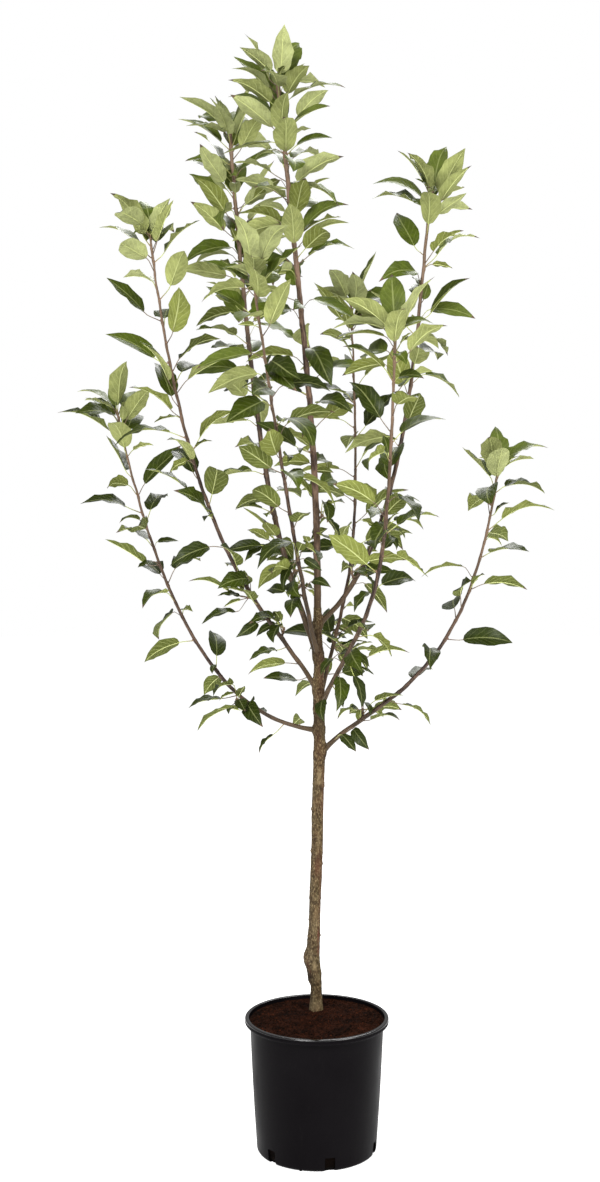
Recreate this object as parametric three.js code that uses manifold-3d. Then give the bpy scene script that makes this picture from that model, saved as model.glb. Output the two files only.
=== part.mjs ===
import * as THREE from 'three';
import { mergeVertices } from 'three/addons/utils/BufferGeometryUtils.js';
import Module from 'manifold-3d';

// A young apple tree, grafted on a dwarf rootstock, in a 12 litre nursery pot.
// Millimetres, +Z up. The origin is the middle of the pot's flat underside, and the front is -Y.

const wasm = await Module();
wasm.setup();

// ---------------------------------------------------------------- driving dimensions

const GAP = 0.3; // running gap between neighbouring pieces
const WELD = 0.02; // edges shorter than this are closed up after a join
const MERGE = 1e-4; // vertices closer than this are one vertex
const UP = new THREE.Vector3(0, 0, 1);
const DEG = Math.PI / 180;

const POT = {
  height: 265,
  baseRadius: 116.5,
  wallTopRadius: 130, // outside, just under the rim
  wall: 2.2,
  floor: 3,
  cornerRadius: 8,
  cornerSteps: 4,
  rimRadius: 140,
  rimHeight: 11,
  rimRound: 2.5,
  rimInnerRadius: 132,
  segments: 32, // round the axis, for the soil too
};

const SLOT = { count: 6, width: 20, height: 28, firstAngle: 12, depth: 14 }; // drain slots at the foot

const SOIL = {
  edgeHeight: 258,
  edgeRise: 1, // from the pot's wall to the foot of the mound
  moundHeight: 262.7,
  moundRadius: 74,
  moundFoot: 112,
};

// The trunk leans and swells: a little root flare, a waist, and the graft union above it.
const TRUNK = {
  cutHeight: 263,
  depth: { foot: 48, top: 35 },
  stations: [
    { height: 263, x: -1, diameter: 25.6 },
    { height: 280, x: -1, diameter: 23.6 },
    { height: 302, x: -1, diameter: 21.2 },
    { height: 325, x: -4, diameter: 25.8 },
    { height: 372, x: -9, diameter: 30.4 },
    { height: 396, x: -6, diameter: 25 },
    { height: 440, x: -4, diameter: 22.2 },
    { height: 620, x: 1, diameter: 22 },
    { height: 800, x: 5, diameter: 21.6 },
    { height: 900, x: 4, diameter: 19.4 },
    { height: 1060, x: 1, diameter: 14.2 },
  ],
  sides: 10,
  steps: 32,
};

// Each limb is one curve. root is its height on the trunk, and tip is the end of its wood.
// launch and finish are its slopes above level there, in degrees, and pull says how far each
// slope carries, as a share of the straight distance. swing turns each slope aside, in degrees.
// bare is the length of clean wood, the bough, before the leafy part, and vigour is how closely
// its buds follow each other.
const LIMBS = {
  leader: {
    root: 1060, tip: [-75, 18, 2053], launch: 90, finish: 84, pull: [0.32, 0.56], swing: [0, 0],
    diameter: [14.2, 7.6], fining: 1.3, bare: 80, vigour: 1.05, seed: 869,
  },
  'left-high': {
    root: 962, tip: [-172, 195, 1995], launch: 63, finish: 84, pull: [0.24, 0.68], swing: [-1, 0],
    diameter: [11.4, 6.6], fining: 1, bare: 110, vigour: 1.3, seed: 1671,
  },
  'left-middle': {
    root: 892, tip: [-308, -70, 1756], launch: 61, finish: 83, pull: [0.21, 0.7], swing: [0, 0],
    diameter: [9.2, 3.6], fining: 1, bare: 90, vigour: 1, seed: 1680,
  },
  'left-low': {
    root: 821, tip: [-390, 110, 1439], launch: 1, finish: 78, pull: [0.28, 0.54], swing: [-9, -3],
    diameter: [8.8, 3.4], fining: 1, bare: 120, vigour: 0.95, seed: 184,
  },
  'right-low': {
    root: 771, tip: [353, 90, 1330], launch: 51, finish: 83, pull: [0.22, 0.7], swing: [0, 0],
    diameter: [9.8, 3.8], fining: 1, bare: 80, vigour: 0.9, seed: 889,
  },
  'right-high': {
    root: 1028, tip: [225, 130, 1866], launch: 35, finish: 78, pull: [0.29, 0.18], swing: [-5, -1],
    diameter: [9.8, 5.4], fining: 1, bare: 80, vigour: 1, seed: 1445,
  },
  'right-front': {
    root: 862, tip: [137, -190, 1578], launch: 51, finish: 87, pull: [0.43, 0.7], swing: [1, 0],
    diameter: [9.8, 4.2], fining: 1, bare: 110, vigour: 1.05, seed: 21,
  },
  'left-front': {
    root: 971, tip: [-116, -200, 1676], launch: 31, finish: 78, pull: [0.1, 0.1], swing: [8, 0],
    diameter: [9, 3.6], fining: 1, bare: 90, vigour: 1, seed: 346,
  },
  rear: {
    root: 873, tip: [71, 270, 1664], launch: 46, finish: 97, pull: [0.42, 0.7], swing: [0, -7],
    diameter: [8.2, 3.4], fining: 1, bare: 110, vigour: 0.9, seed: 551,
  },
};

const COLLAR = { extra: 0.45, length: 16 }; // a bough swells by this share where it leaves the trunk

// How leaves stand on a limb. Pairs run from the foot of the leafy part to its top.
const GROWTH = {
  firstBud: 24, // from the end of the clean wood
  spacing: [80, 28], // between buds
  unevenness: 0.5, // of that spacing
  thickening: [0.1, 0.46], // shares of the limb's length between which the buds close up
  oldWood: 0.5, // spurs stand below this share of that stretch
  turn: 137.5, // golden angle from bud to bud
  turnSpread: 40,
  opening: [62, 46], // angle between shoot and stalk
  openingSpread: 24,
  slope: [-12, 28], // slope of the blade above level
  slopeSpread: 116,
  follow: 0.38, // how far that slope gives way to the stalk's own
  roll: 104,
  tries: 10,
  stalk: [28, 40],
  blade: [74, 108],
  bladeSpread: 0.2,
};

// Leaves crowded at a tip, more upright and closer set than the rest.
const ROSETTE = { leaves: 9, length: 64, opening: 36, slope: 48, spread: 0.75, stalk: 0.74 };
const SPUR = { length: 20, diameter: 6, opening: 58, leaves: 3, budStep: 5 }; // short twigs on the old wood

const LEAF = {
  breadth: 0.52, // width to length, before the outline's own narrowing
  foot: 0.82, // below 1 it brings the widest place nearer the stalk
  round: 0.62, // below 1 it rounds the outline out
  drawnOut: 0.2, // narrowing towards the tip
  thickness: 0.018, // at the midrib, to length
  stalkDiameter: 2.6,
  stations: [0.3, 0.7], // along the blade
  fold: [14, 34], // each half's lift from flat, degrees
  curl: [14, 62], // how far the midrib bends down from stalk to tip, degrees
};

// A blade keeps clear by a grid of points on it: mm apart, from its own wood and from other spaces.
const CLEAR = { start: 0.16, rows: 6, columns: 2, apart: 11, fromWood: 8, fromNeighbour: 4 };

const STEM = { sides: 4, step: 76, pathSteps: 24 };
const BOUGH = { sides: 6, step: 20 };

// ---------------------------------------------------------------- materials

const finish = (color, roughness) => new THREE.MeshStandardMaterial({ color, roughness, metalness: 0 });
const potPlastic = finish(0x1d1e20, 0.55);
const compost = finish(0x35211a, 0.95);
const trunkBark = finish(0x6e5c42, 0.85);
const shootBark = finish(0x6b4a40, 0.7);
const foliage = finish(0x7d9a4c, 0.6);

// ---------------------------------------------------------------- small helpers

const mix = (from, to, share) => from + (to - from) * share;
const clamp = (value) => Math.min(1, Math.max(0, value));

function seededRandom(seed) {
  let state = seed >>> 0;
  return () => {
    state = (state + 0x6d2b79f5) >>> 0;
    let value = Math.imul(state ^ (state >>> 15), state | 1);
    value ^= value + Math.imul(value ^ (value >>> 7), value | 61);
    return ((value ^ (value >>> 14)) >>> 0) / 4294967296;
  };
}

function heading(azimuth, slope) {
  return new THREE.Vector3(
    Math.cos(azimuth) * Math.cos(slope),
    Math.sin(azimuth) * Math.cos(slope),
    Math.sin(slope),
  );
}

// ---------------------------------------------------------------- solids

function closedGeometry(geometry) {
  geometry.deleteAttribute('normal');
  geometry.deleteAttribute('uv');
  return mergeVertices(geometry, MERGE);
}

function solidOf(geometry) {
  const merged = closedGeometry(geometry);
  const mesh = new wasm.Mesh({
    numProp: 3,
    vertProperties: new Float32Array(merged.attributes.position.array),
    triVerts: new Uint32Array(merged.index.array),
  });
  return new wasm.Manifold(mesh);
}

function geometryOf(solid) {
  const mesh = solid.getMesh();
  const geometry = new THREE.BufferGeometry();
  geometry.setAttribute('position', new THREE.BufferAttribute(new Float32Array(mesh.vertProperties), 3));
  geometry.setIndex(new THREE.BufferAttribute(new Uint32Array(mesh.triVerts), 1));
  return geometry;
}

// The main body of a joined or cut solid, without scraps or needle-thin faces.
function mainBody(solid) {
  const pieces = solid.simplify(WELD).decompose();
  return pieces.reduce((best, piece) => (piece.volume() > best.volume() ? piece : best));
}

// ---------------------------------------------------------------- trunk and limb curves

// A smooth value between the trunk's stations, level at each of them.
function trunkValue(key, height) {
  const stations = TRUNK.stations;
  const last = stations.length - 1;
  const above = stations.findIndex((station) => station.height > height);
  const upper = above < 0 ? last : Math.max(1, above);
  const lower = stations[upper - 1];
  const share = clamp((height - lower.height) / (stations[upper].height - lower.height));
  return mix(lower[key], stations[upper][key], share * share * (3 - 2 * share));
}

function trunkPoint(height) {
  const top = TRUNK.stations.at(-1).height;
  const share = (height - TRUNK.cutHeight) / (top - TRUNK.cutHeight);
  return new THREE.Vector3(trunkValue('x', height), mix(TRUNK.depth.foot, TRUNK.depth.top, share), height);
}

class TrunkCurve extends THREE.Curve {
  getPoint(share, target = new THREE.Vector3()) {
    return target.copy(trunkPoint(mix(TRUNK.cutHeight, TRUNK.stations.at(-1).height, share)));
  }

  // Sections of the trunk stay level.
  getTangent(share, target = new THREE.Vector3()) {
    return target.copy(UP);
  }
}

function limbCurve(limb) {
  const root = trunkPoint(limb.root);
  const tip = new THREE.Vector3(...limb.tip);
  const azimuth = Math.atan2(tip.y - root.y, tip.x - root.x);
  const reach = root.distanceTo(tip);
  const away = heading(azimuth + limb.swing[0] * DEG, limb.launch * DEG);
  const home = heading(azimuth + limb.swing[1] * DEG, limb.finish * DEG);
  const first = root.clone().addScaledVector(away, limb.pull[0] * reach);
  const second = tip.clone().addScaledVector(home, -limb.pull[1] * reach);
  return new THREE.CubicBezierCurve3(root, first, second, tip);
}

function limbRadius(limb, share) {
  const [base, tip] = limb.diameter;
  return (tip + (base - tip) * (1 - share) ** limb.fining) / 2;
}

// A point on a shoot, the shoot's direction there and two directions across it.
function frameOf(point, along) {
  const reference = new THREE.Vector3(Math.abs(along.y) > 0.9 ? 1 : 0, Math.abs(along.y) > 0.9 ? 0 : 1, 0);
  const across = new THREE.Vector3().crossVectors(along, reference).normalize();
  const over = new THREE.Vector3().crossVectors(along, across);
  return { point, along, across, over };
}

function frameAt(curve, share) {
  return frameOf(curve.getPointAt(share), curve.getTangentAt(share));
}

// The direction that leaves a shoot at an angle to it, on the side given by a turn.
function branchDirection(frame, turn, opening) {
  return frame.along
    .clone()
    .multiplyScalar(Math.cos(opening))
    .addScaledVector(frame.across, Math.cos(turn) * Math.sin(opening))
    .addScaledVector(frame.over, Math.sin(turn) * Math.sin(opening));
}

// A cylinder bent along part of a curve, with a radius that follows the curve too.
function bentLimb(curve, from, to, radiusAt, sides, steps) {
  const geometry = closedGeometry(new THREE.CylinderGeometry(1, 1, 1, sides, steps));
  const position = geometry.attributes.position;
  const vertex = new THREE.Vector3();
  for (let index = 0; index < position.count; index += 1) {
    vertex.fromBufferAttribute(position, index);
    const share = mix(from, to, vertex.y + 0.5);
    const { point, across, over } = frameAt(curve, share);
    const radius = radiusAt(share);
    point.addScaledVector(across, vertex.z * radius);
    point.addScaledVector(over, vertex.x * radius);
    position.setXYZ(index, point.x, point.y, point.z);
  }
  return geometry;
}

// ---------------------------------------------------------------- pot and soil

function wallRadius(height) {
  return mix(POT.baseRadius, POT.wallTopRadius, height / (POT.height - POT.rimHeight));
}

// The pot's outline in a half plane: up the outside, over the rim, and down the inside.
function potOutline() {
  const rimFoot = POT.height - POT.rimHeight;
  const corner = POT.cornerRadius;
  const cornerX = wallRadius(corner) - corner;
  const outline = [new THREE.Vector2(0, 0)];
  for (let step = 0; step <= POT.cornerSteps; step += 1) {
    const angle = (step / POT.cornerSteps) * 90 * DEG;
    outline.push(new THREE.Vector2(cornerX + corner * Math.sin(angle), corner * (1 - Math.cos(angle))));
  }
  outline.push(new THREE.Vector2(POT.wallTopRadius, rimFoot));
  outline.push(new THREE.Vector2(POT.rimRadius - POT.rimRound, rimFoot));
  outline.push(new THREE.Vector2(POT.rimRadius, rimFoot + POT.rimRound));
  outline.push(new THREE.Vector2(POT.rimRadius, POT.height - POT.rimRound));
  outline.push(new THREE.Vector2(POT.rimRadius - POT.rimRound, POT.height));
  outline.push(new THREE.Vector2(POT.rimInnerRadius, POT.height));
  outline.push(new THREE.Vector2(POT.rimInnerRadius, rimFoot));
  outline.push(new THREE.Vector2(POT.wallTopRadius - POT.wall, rimFoot - POT.rimHeight));
  outline.push(new THREE.Vector2(wallRadius(corner) - POT.wall, corner));
  outline.push(new THREE.Vector2(cornerX, POT.floor));
  outline.push(new THREE.Vector2(0, POT.floor));
  return outline;
}

function turned(outline) {
  return new THREE.LatheGeometry(outline, POT.segments).rotateX(90 * DEG);
}

function slotCutter(angle) {
  const box = new THREE.BoxGeometry(SLOT.depth, SLOT.width, SLOT.height * 2);
  box.translate(wallRadius(0) - POT.wall, 0, 0);
  box.rotateZ(angle);
  return solidOf(box);
}

function potSolid() {
  let pot = solidOf(turned(potOutline()));
  for (let index = 0; index < SLOT.count; index += 1) {
    const angle = (-90 + SLOT.firstAngle + (index * 360) / SLOT.count) * DEG;
    pot = pot.subtract(slotCutter(angle));
  }
  return pot;
}

// The soil fills the pot and is flat round the trunk's foot.
function soilOutline() {
  const rimFoot = POT.height - POT.rimHeight;
  const corner = POT.cornerRadius;
  return [
    new THREE.Vector2(0, POT.floor + GAP),
    new THREE.Vector2(wallRadius(corner) - corner - GAP, POT.floor + GAP),
    new THREE.Vector2(wallRadius(corner) - POT.wall - GAP, corner + GAP),
    new THREE.Vector2(POT.wallTopRadius - POT.wall - GAP, rimFoot - POT.rimHeight),
    new THREE.Vector2(POT.rimInnerRadius - GAP, rimFoot),
    new THREE.Vector2(POT.rimInnerRadius - GAP, SOIL.edgeHeight),
    new THREE.Vector2(SOIL.moundFoot, SOIL.edgeHeight + SOIL.edgeRise),
    new THREE.Vector2(SOIL.moundRadius, SOIL.moundHeight),
    new THREE.Vector2(0, SOIL.moundHeight),
  ];
}

// ---------------------------------------------------------------- leaves

// Half the blade's width at a share of its length: widest below the middle, drawn out to the tip.
function halfWidth(leaf, share) {
  const outline = Math.sin(Math.PI * share ** LEAF.foot) ** LEAF.round * (1 - LEAF.drawnOut * share);
  return leaf.length * LEAF.breadth * 0.5 * outline;
}

// A point on the blade: share runs from stalk to tip, side from -1 to 1, lift is off the blade.
function bladePoint(leaf, share, side, lift) {
  const bend = leaf.curl * share;
  const run = (leaf.length * Math.sin(bend)) / leaf.curl;
  const drop = (leaf.length * (1 - Math.cos(bend))) / leaf.curl;
  const width = halfWidth(leaf, share);
  const raise = Math.abs(side) * width * Math.sin(leaf.fold) + lift;
  return leaf.base
    .clone()
    .addScaledVector(leaf.along, run + raise * Math.sin(bend))
    .addScaledVector(leaf.face, raise * Math.cos(bend) - drop)
    .addScaledVector(leaf.across, side * width * Math.cos(leaf.fold));
}

// A leaf is one four-sided ball drawn out: its root in the shoot, a stalk, and a folded blade
// with both edges sharp and a ridge along each face.
function leafGeometry(leaf) {
  const rings = LEAF.stations.length + 3;
  const geometry = closedGeometry(new THREE.SphereGeometry(1, 4, rings));
  const position = geometry.attributes.position;
  const vertex = new THREE.Vector3();
  const stalk = LEAF.stalkDiameter / 2;
  const thick = (leaf.length * LEAF.thickness) / 2;
  for (let index = 0; index < position.count; index += 1) {
    vertex.fromBufferAttribute(position, index);
    const ring = Math.round((Math.acos(THREE.MathUtils.clamp(vertex.y, -1, 1)) / Math.PI) * rings);
    const radius = Math.hypot(vertex.x, vertex.z) || 1;
    const side = Math.round(vertex.x / radius);
    const lift = Math.round(vertex.z / radius);
    if (ring === 0) {
      vertex.copy(leaf.root);
    } else if (ring === 1) {
      vertex.copy(leaf.bud).addScaledVector(leaf.across, side * stalk);
      vertex.addScaledVector(leaf.face, lift * stalk);
    } else if (ring === 2) {
      vertex.copy(leaf.base).addScaledVector(leaf.across, side * stalk);
      vertex.addScaledVector(leaf.face, lift * stalk);
    } else {
      const share = LEAF.stations[ring - 3] ?? 1;
      vertex.copy(bladePoint(leaf, share, side, lift * thick));
    }
    position.setXYZ(index, vertex.x, vertex.y, vertex.z);
  }
  return geometry;
}

// A three-sided twig from one point to another.
function twigGeometry(start, end, diameter) {
  const along = end.clone().sub(start);
  const geometry = new THREE.CylinderGeometry(diameter / 2, diameter / 2, along.length(), 3, 1);
  geometry.translate(0, along.length() / 2, 0);
  geometry.applyQuaternion(
    new THREE.Quaternion().setFromUnitVectors(new THREE.Vector3(0, 1, 0), along.normalize()),
  );
  return geometry.translate(start.x, start.y, start.z);
}

// ---------------------------------------------------------------- where leaves may grow

const curves = {};
const paths = {};
for (const [name, limb] of Object.entries(LIMBS)) {
  curves[name] = limbCurve(limb);
  paths[name] = curves[name].getSpacedPoints(STEM.pathSteps);
}
const trunkCurve = new TrunkCurve();
paths.trunk = trunkCurve.getSpacedPoints(STEM.pathSteps);

function distanceToPath(point, path) {
  let nearest = Infinity;
  const segment = new THREE.Line3();
  const foot = new THREE.Vector3();
  for (let index = 1; index < path.length; index += 1) {
    segment.set(path[index - 1], path[index]);
    segment.closestPointToPoint(point, true, foot);
    nearest = Math.min(nearest, foot.distanceTo(point));
  }
  return nearest;
}

function bladeGrid(leaf) {
  const points = [];
  for (let row = 0; row <= CLEAR.rows; row += 1) {
    const share = mix(CLEAR.start, 1, row / CLEAR.rows);
    for (let column = -CLEAR.columns; column <= CLEAR.columns; column += 1) {
      points.push(bladePoint(leaf, share, column / CLEAR.columns, 0));
    }
  }
  return points;
}

// A blade keeps to the space that is nearer its own limb than any other wood.
function inOwnSpace(grid, name) {
  return grid.every((point) => {
    const own = distanceToPath(point, paths[name]);
    if (own < CLEAR.fromWood) return false;
    return Object.keys(paths).every(
      (other) => other === name || distanceToPath(point, paths[other]) > own + CLEAR.fromNeighbour,
    );
  });
}

function clearOfLeaves(grid, leaves) {
  return leaves.every((leaf) =>
    leaf.grid.every((theirs) => grid.every((ours) => ours.distanceTo(theirs) > CLEAR.apart)),
  );
}

// ---------------------------------------------------------------- how leaves grow

// One leaf on a bud. top runs from 0 at the limb's foot to 1 at its tip, and tipward from 0
// below the rosette to 1 at the tip.
function makeLeaf(frame, top, tipward, turn, size, random) {
  const spread = (width) => width * (random() - 0.5);
  const opening = mix(mix(...GROWTH.opening, top), ROSETTE.opening, tipward) + spread(GROWTH.openingSpread);
  const slope = mix(mix(...GROWTH.slope, top), ROSETTE.slope, tipward);
  const wayward = slope + spread(GROWTH.slopeSpread * mix(1, ROSETTE.spread, tipward));
  const roll = spread(GROWTH.roll) * DEG;
  const stalk = mix(...GROWTH.stalk, random()) * mix(1, ROSETTE.stalk, tipward);
  const outward = branchDirection(frame, turn * DEG, opening * DEG);
  const azimuth = Math.atan2(outward.y, outward.x);
  const rise = mix(wayward * DEG, Math.asin(outward.z), GROWTH.follow);
  const along = heading(azimuth, rise);
  const level = heading(azimuth, rise + 90 * DEG);
  const beside = new THREE.Vector3().crossVectors(level, along);
  const face = level.clone().multiplyScalar(Math.cos(roll)).addScaledVector(beside, Math.sin(roll));
  return {
    root: frame.point.clone().addScaledVector(frame.along, -LEAF.stalkDiameter),
    bud: frame.point.clone().addScaledVector(outward, LEAF.stalkDiameter / 2),
    base: frame.point.clone().addScaledVector(outward, stalk),
    along,
    face,
    across: new THREE.Vector3().crossVectors(face, along),
    length: size,
    fold: mix(...LEAF.fold, random()) * DEG,
    curl: mix(...LEAF.curl, random()) * DEG,
  };
}

// The leaves of one limb, bud by bud from the end of its bare wood to its tip. A bud of the old
// wood bears a spur with a few leaves, and a bud of the young shoot one leaf.
function growLeaves(name) {
  const limb = LIMBS[name];
  const curve = curves[name];
  const total = curve.getLength();
  const random = seededRandom(limb.seed);
  const leaves = [];
  const spurs = [];
  let turn = random() * 360;
  let place = limb.bare + GROWTH.firstBud * (1 + random());
  while (place <= total) {
    const top = place / total;
    const tipward = clamp(1 - (total - place) / ROSETTE.length);
    const closing = clamp((top - GROWTH.thickening[0]) / (GROWTH.thickening[1] - GROWTH.thickening[0]));
    const onSpur = closing < GROWTH.oldWood;
    const shoot = frameAt(curve, top);
    const direction = branchDirection(shoot, turn * DEG, SPUR.opening * DEG);
    if (onSpur) {
      spurs.push({ start: shoot.point, end: shoot.point.clone().addScaledVector(direction, SPUR.length) });
    }
    for (let number = 0; number < (onSpur ? SPUR.leaves : 1); number += 1) {
      const out = SPUR.length - SPUR.budStep * (number + 0.5);
      const frame = onSpur ? frameOf(shoot.point.clone().addScaledVector(direction, out), direction) : shoot;
      const size = mix(...GROWTH.blade, closing) * (1 - GROWTH.bladeSpread * random());
      for (let attempt = 0; attempt < GROWTH.tries; attempt += 1) {
        turn += GROWTH.turn + GROWTH.turnSpread * (random() - 0.5);
        const leaf = makeLeaf(frame, top, tipward, turn, size, random);
        leaf.grid = bladeGrid(leaf);
        if (inOwnSpace(leaf.grid, name) && clearOfLeaves(leaf.grid, leaves)) {
          leaves.push(leaf);
          break;
        }
      }
    }
    const spacing = mix(...GROWTH.spacing, closing) * (1 + GROWTH.unevenness * (2 * random() - 1));
    place += (tipward > 0 ? ROSETTE.length / ROSETTE.leaves : spacing) / limb.vigour;
  }
  return { leaves, spurs };
}

// ---------------------------------------------------------------- the tree's pieces

const group = new THREE.Group();

function addPiece(name, geometry, material) {
  const mesh = new THREE.Mesh(geometry, material);
  mesh.name = name;
  group.add(mesh);
}

function trunkGeometry(extra) {
  const top = TRUNK.stations.at(-1).height;
  const radius = (share) => trunkValue('diameter', mix(TRUNK.cutHeight, top, share)) / 2 + extra;
  return bentLimb(trunkCurve, 0, 1, radius, TRUNK.sides, TRUNK.steps);
}

function boughSolid(name, trunkSpace) {
  const limb = LIMBS[name];
  const curve = curves[name];
  const total = curve.getLength();
  const end = limb.bare / total;
  const radius = (share) => {
    const collar = clamp(1 - (share * total) / (COLLAR.length + TRUNK.stations.at(-1).diameter));
    return limbRadius(limb, share) * (1 + COLLAR.extra * collar * collar);
  };
  const start = name === 'leader' ? GAP / total : 0;
  const bough = solidOf(bentLimb(curve, start, end, radius, BOUGH.sides, Math.round(limb.bare / BOUGH.step)));
  return name === 'leader' ? bough : mainBody(bough.subtract(trunkSpace));
}

function foliageSolid(name) {
  const limb = LIMBS[name];
  const curve = curves[name];
  const total = curve.getLength();
  const start = (limb.bare + GAP) / total;
  const steps = Math.round((total - limb.bare) / STEM.step);
  const parts = [solidOf(bentLimb(curve, start, 1, (share) => limbRadius(limb, share), STEM.sides, steps))];
  const { leaves, spurs } = growLeaves(name);
  for (const { start: foot, end } of spurs) parts.push(solidOf(twigGeometry(foot, end, SPUR.diameter)));
  for (const leaf of leaves) parts.push(solidOf(leafGeometry(leaf)));
  return mainBody(parts.reduce((whole, part) => whole.add(part)));
}

addPiece('pot', geometryOf(potSolid()), potPlastic);
addPiece('soil', closedGeometry(turned(soilOutline())), compost);
addPiece('trunk', trunkGeometry(0), trunkBark);
const trunkSpace = solidOf(trunkGeometry(GAP));
for (const name of Object.keys(LIMBS)) {
  addPiece(`${name}-bough`, geometryOf(boughSolid(name, trunkSpace)), shootBark);
  addPiece(`${name}-foliage`, geometryOf(foliageSolid(name)), foliage);
}

export default group;
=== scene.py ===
import math

import bmesh
import bpy
import numpy as np
from mathutils import Matrix, Vector, noise


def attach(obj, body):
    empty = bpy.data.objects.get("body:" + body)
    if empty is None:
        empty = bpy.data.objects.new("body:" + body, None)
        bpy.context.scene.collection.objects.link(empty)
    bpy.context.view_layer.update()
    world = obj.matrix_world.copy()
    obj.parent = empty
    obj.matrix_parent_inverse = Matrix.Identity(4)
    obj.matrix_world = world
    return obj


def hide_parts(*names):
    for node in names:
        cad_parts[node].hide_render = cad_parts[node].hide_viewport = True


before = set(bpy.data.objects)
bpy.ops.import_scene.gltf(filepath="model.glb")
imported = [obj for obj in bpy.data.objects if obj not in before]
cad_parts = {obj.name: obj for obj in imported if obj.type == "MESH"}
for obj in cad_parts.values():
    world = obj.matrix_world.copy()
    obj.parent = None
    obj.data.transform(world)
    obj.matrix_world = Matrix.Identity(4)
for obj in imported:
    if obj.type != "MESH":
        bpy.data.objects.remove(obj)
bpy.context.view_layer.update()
print("frame loaded:", len(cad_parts), "nodes")

# every size below is in millimetres and every angle in degrees, unless a note says otherwise
millimetre = 0.001
degree = math.pi / 180
fullTurn = 2 * math.pi


def mix(low, high, share):
    return low + (high - low) * share


def clamp(value):
    return min(1.0, max(0.0, value))


def smoothStep(value):
    value = clamp(value)
    return value * value * (3 - 2 * value)


def hump(distance, width):
    return math.exp(-((distance / width) ** 2))


# the same small generator as the part's source, so the same leaves come out
def seededRandom(seed):
    state = seed & 0xFFFFFFFF

    def draw():
        nonlocal state
        state = (state + 0x6D2B79F5) & 0xFFFFFFFF
        value = ((state ^ (state >> 15)) * (state | 1)) & 0xFFFFFFFF
        value ^= (value + (((value ^ (value >> 7)) * (value | 61)) & 0xFFFFFFFF)) & 0xFFFFFFFF
        return ((value ^ (value >> 14)) & 0xFFFFFFFF) / 4294967296

    return draw


def heading(azimuth, slope=0):
    level = math.cos(slope)
    return np.array([math.cos(azimuth) * level, math.sin(azimuth) * level, math.sin(slope)])


def units(vectors):
    return vectors / np.linalg.norm(vectors, axis=-1, keepdims=True)


# a value of a material that can be reckoned with: each operator adds its Math node
class Field:
    def __init__(self, nodes, socket):
        self.nodes = nodes
        self.socket = socket

    def __add__(self, other):
        return self.nodes.reckon("ADD", self, other)

    def __radd__(self, other):
        return self.nodes.reckon("ADD", other, self)

    def __sub__(self, other):
        return self.nodes.reckon("SUBTRACT", self, other)

    def __rsub__(self, other):
        return self.nodes.reckon("SUBTRACT", other, self)

    def __mul__(self, other):
        return self.nodes.reckon("MULTIPLY", self, other)

    def __rmul__(self, other):
        return self.nodes.reckon("MULTIPLY", other, self)


# a tree of nodes under way, with one method that adds any node
class Nodes:
    def __init__(self, tree):
        self.tree = tree

    def node(self, kind, settings=None, inputs=None, output=0):
        made = self.tree.nodes.new("ShaderNode" + kind)
        for key, value in (settings or {}).items():
            setattr(made, key, value)
        for key, value in (inputs or {}).items():
            self.feed(made.inputs[key], value)
        return Field(self, made.outputs[output])

    def feed(self, socket, value):
        if isinstance(value, Field):
            self.tree.links.new(value.socket, socket)
        else:
            socket.default_value = value

    def reckon(self, operation, *values):
        return self.node("Math", {"operation": operation}, dict(enumerate(values)))


# a material: what its shader takes, and the patterns that make it up
class Finish(Nodes):
    def __init__(self, name, **fixed):
        self.material = bpy.data.materials.new(name)
        self.material.use_nodes = True
        super().__init__(self.material.node_tree)
        self.shader = self.tree.nodes["Principled BSDF"]
        self.set(**fixed)

    def set(self, **inputs):
        for name, value in inputs.items():
            self.feed(self.shader.inputs[name.replace("_", " ")], value)

    # points on the piece in metres, drawn out along Z where along is less than 1
    def place(self, along):
        point = self.node("TexCoord", output="Object")
        return self.node("Mapping", inputs={"Vector": point, "Scale": (1, 1, along)})

    # one coordinate of a point: in "Object" or in the piece's own "UV"
    def axis(self, chart, name):
        point = self.node("TexCoord", output=chart)
        return self.node("SeparateXYZ", inputs={"Vector": point}, output=name)

    # a place on a rolled-up surface, from its own UV map, with no seam where the map closes
    def wound(self, turns, along):
        angle = self.axis("UV", "X") * 2 * math.pi
        x, y = [self.reckon(way, angle) * turns for way in ("COSINE", "SINE")]
        return self.node("CombineXYZ", inputs={"X": x, "Y": y, "Z": self.axis("UV", "Y") * along})

    def noise(self, scale, detail, roughness=0.5, along=1, place=None):
        place = place or self.place(along)
        inputs = {"Vector": place, "Scale": scale, "Detail": detail, "Roughness": roughness}
        return self.node("TexNoise", inputs=inputs, output="Fac")

    # distance to the nearest of scattered points, 0 at each point
    def dots(self, scale, along):
        inputs = {"Vector": self.place(along), "Scale": scale}
        return self.node("TexVoronoi", inputs=inputs, output="Distance")

    def span(self, value, low, high, start=0.0, end=1.0):
        inputs = {"Value": value, "From Min": low, "From Max": high, "To Min": start, "To Max": end}
        return self.node("MapRange", {"clamp": True}, inputs)

    # the base colour: a first one under coats, each a share and the colour that it brings
    def paint(self, color, *coats):
        for share, tint in coats:  # a Mix node's colours are its sockets 6 and 7, their mixture is output 2
            color = self.node("Mix", {"data_type": "RGBA"}, {0: share, 6: color, 7: tint}, 2)
        self.set(Base_Color=color)

    def bump(self, height, distance, strength=1.0):
        inputs = {"Height": height, "Distance": distance, "Strength": strength}
        self.set(Normal=self.node("Bump", inputs=inputs, output="Normal"))


# a colour as it is seen, 0 to 255, made the linear one that shaders take
def tone(*seen):
    linear = [v / 255 / 12.92 if v / 255 < 0.04045 else ((v / 255 + 0.055) / 1.055) ** 2.4 for v in seen]
    return (*linear, 1.0)


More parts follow.
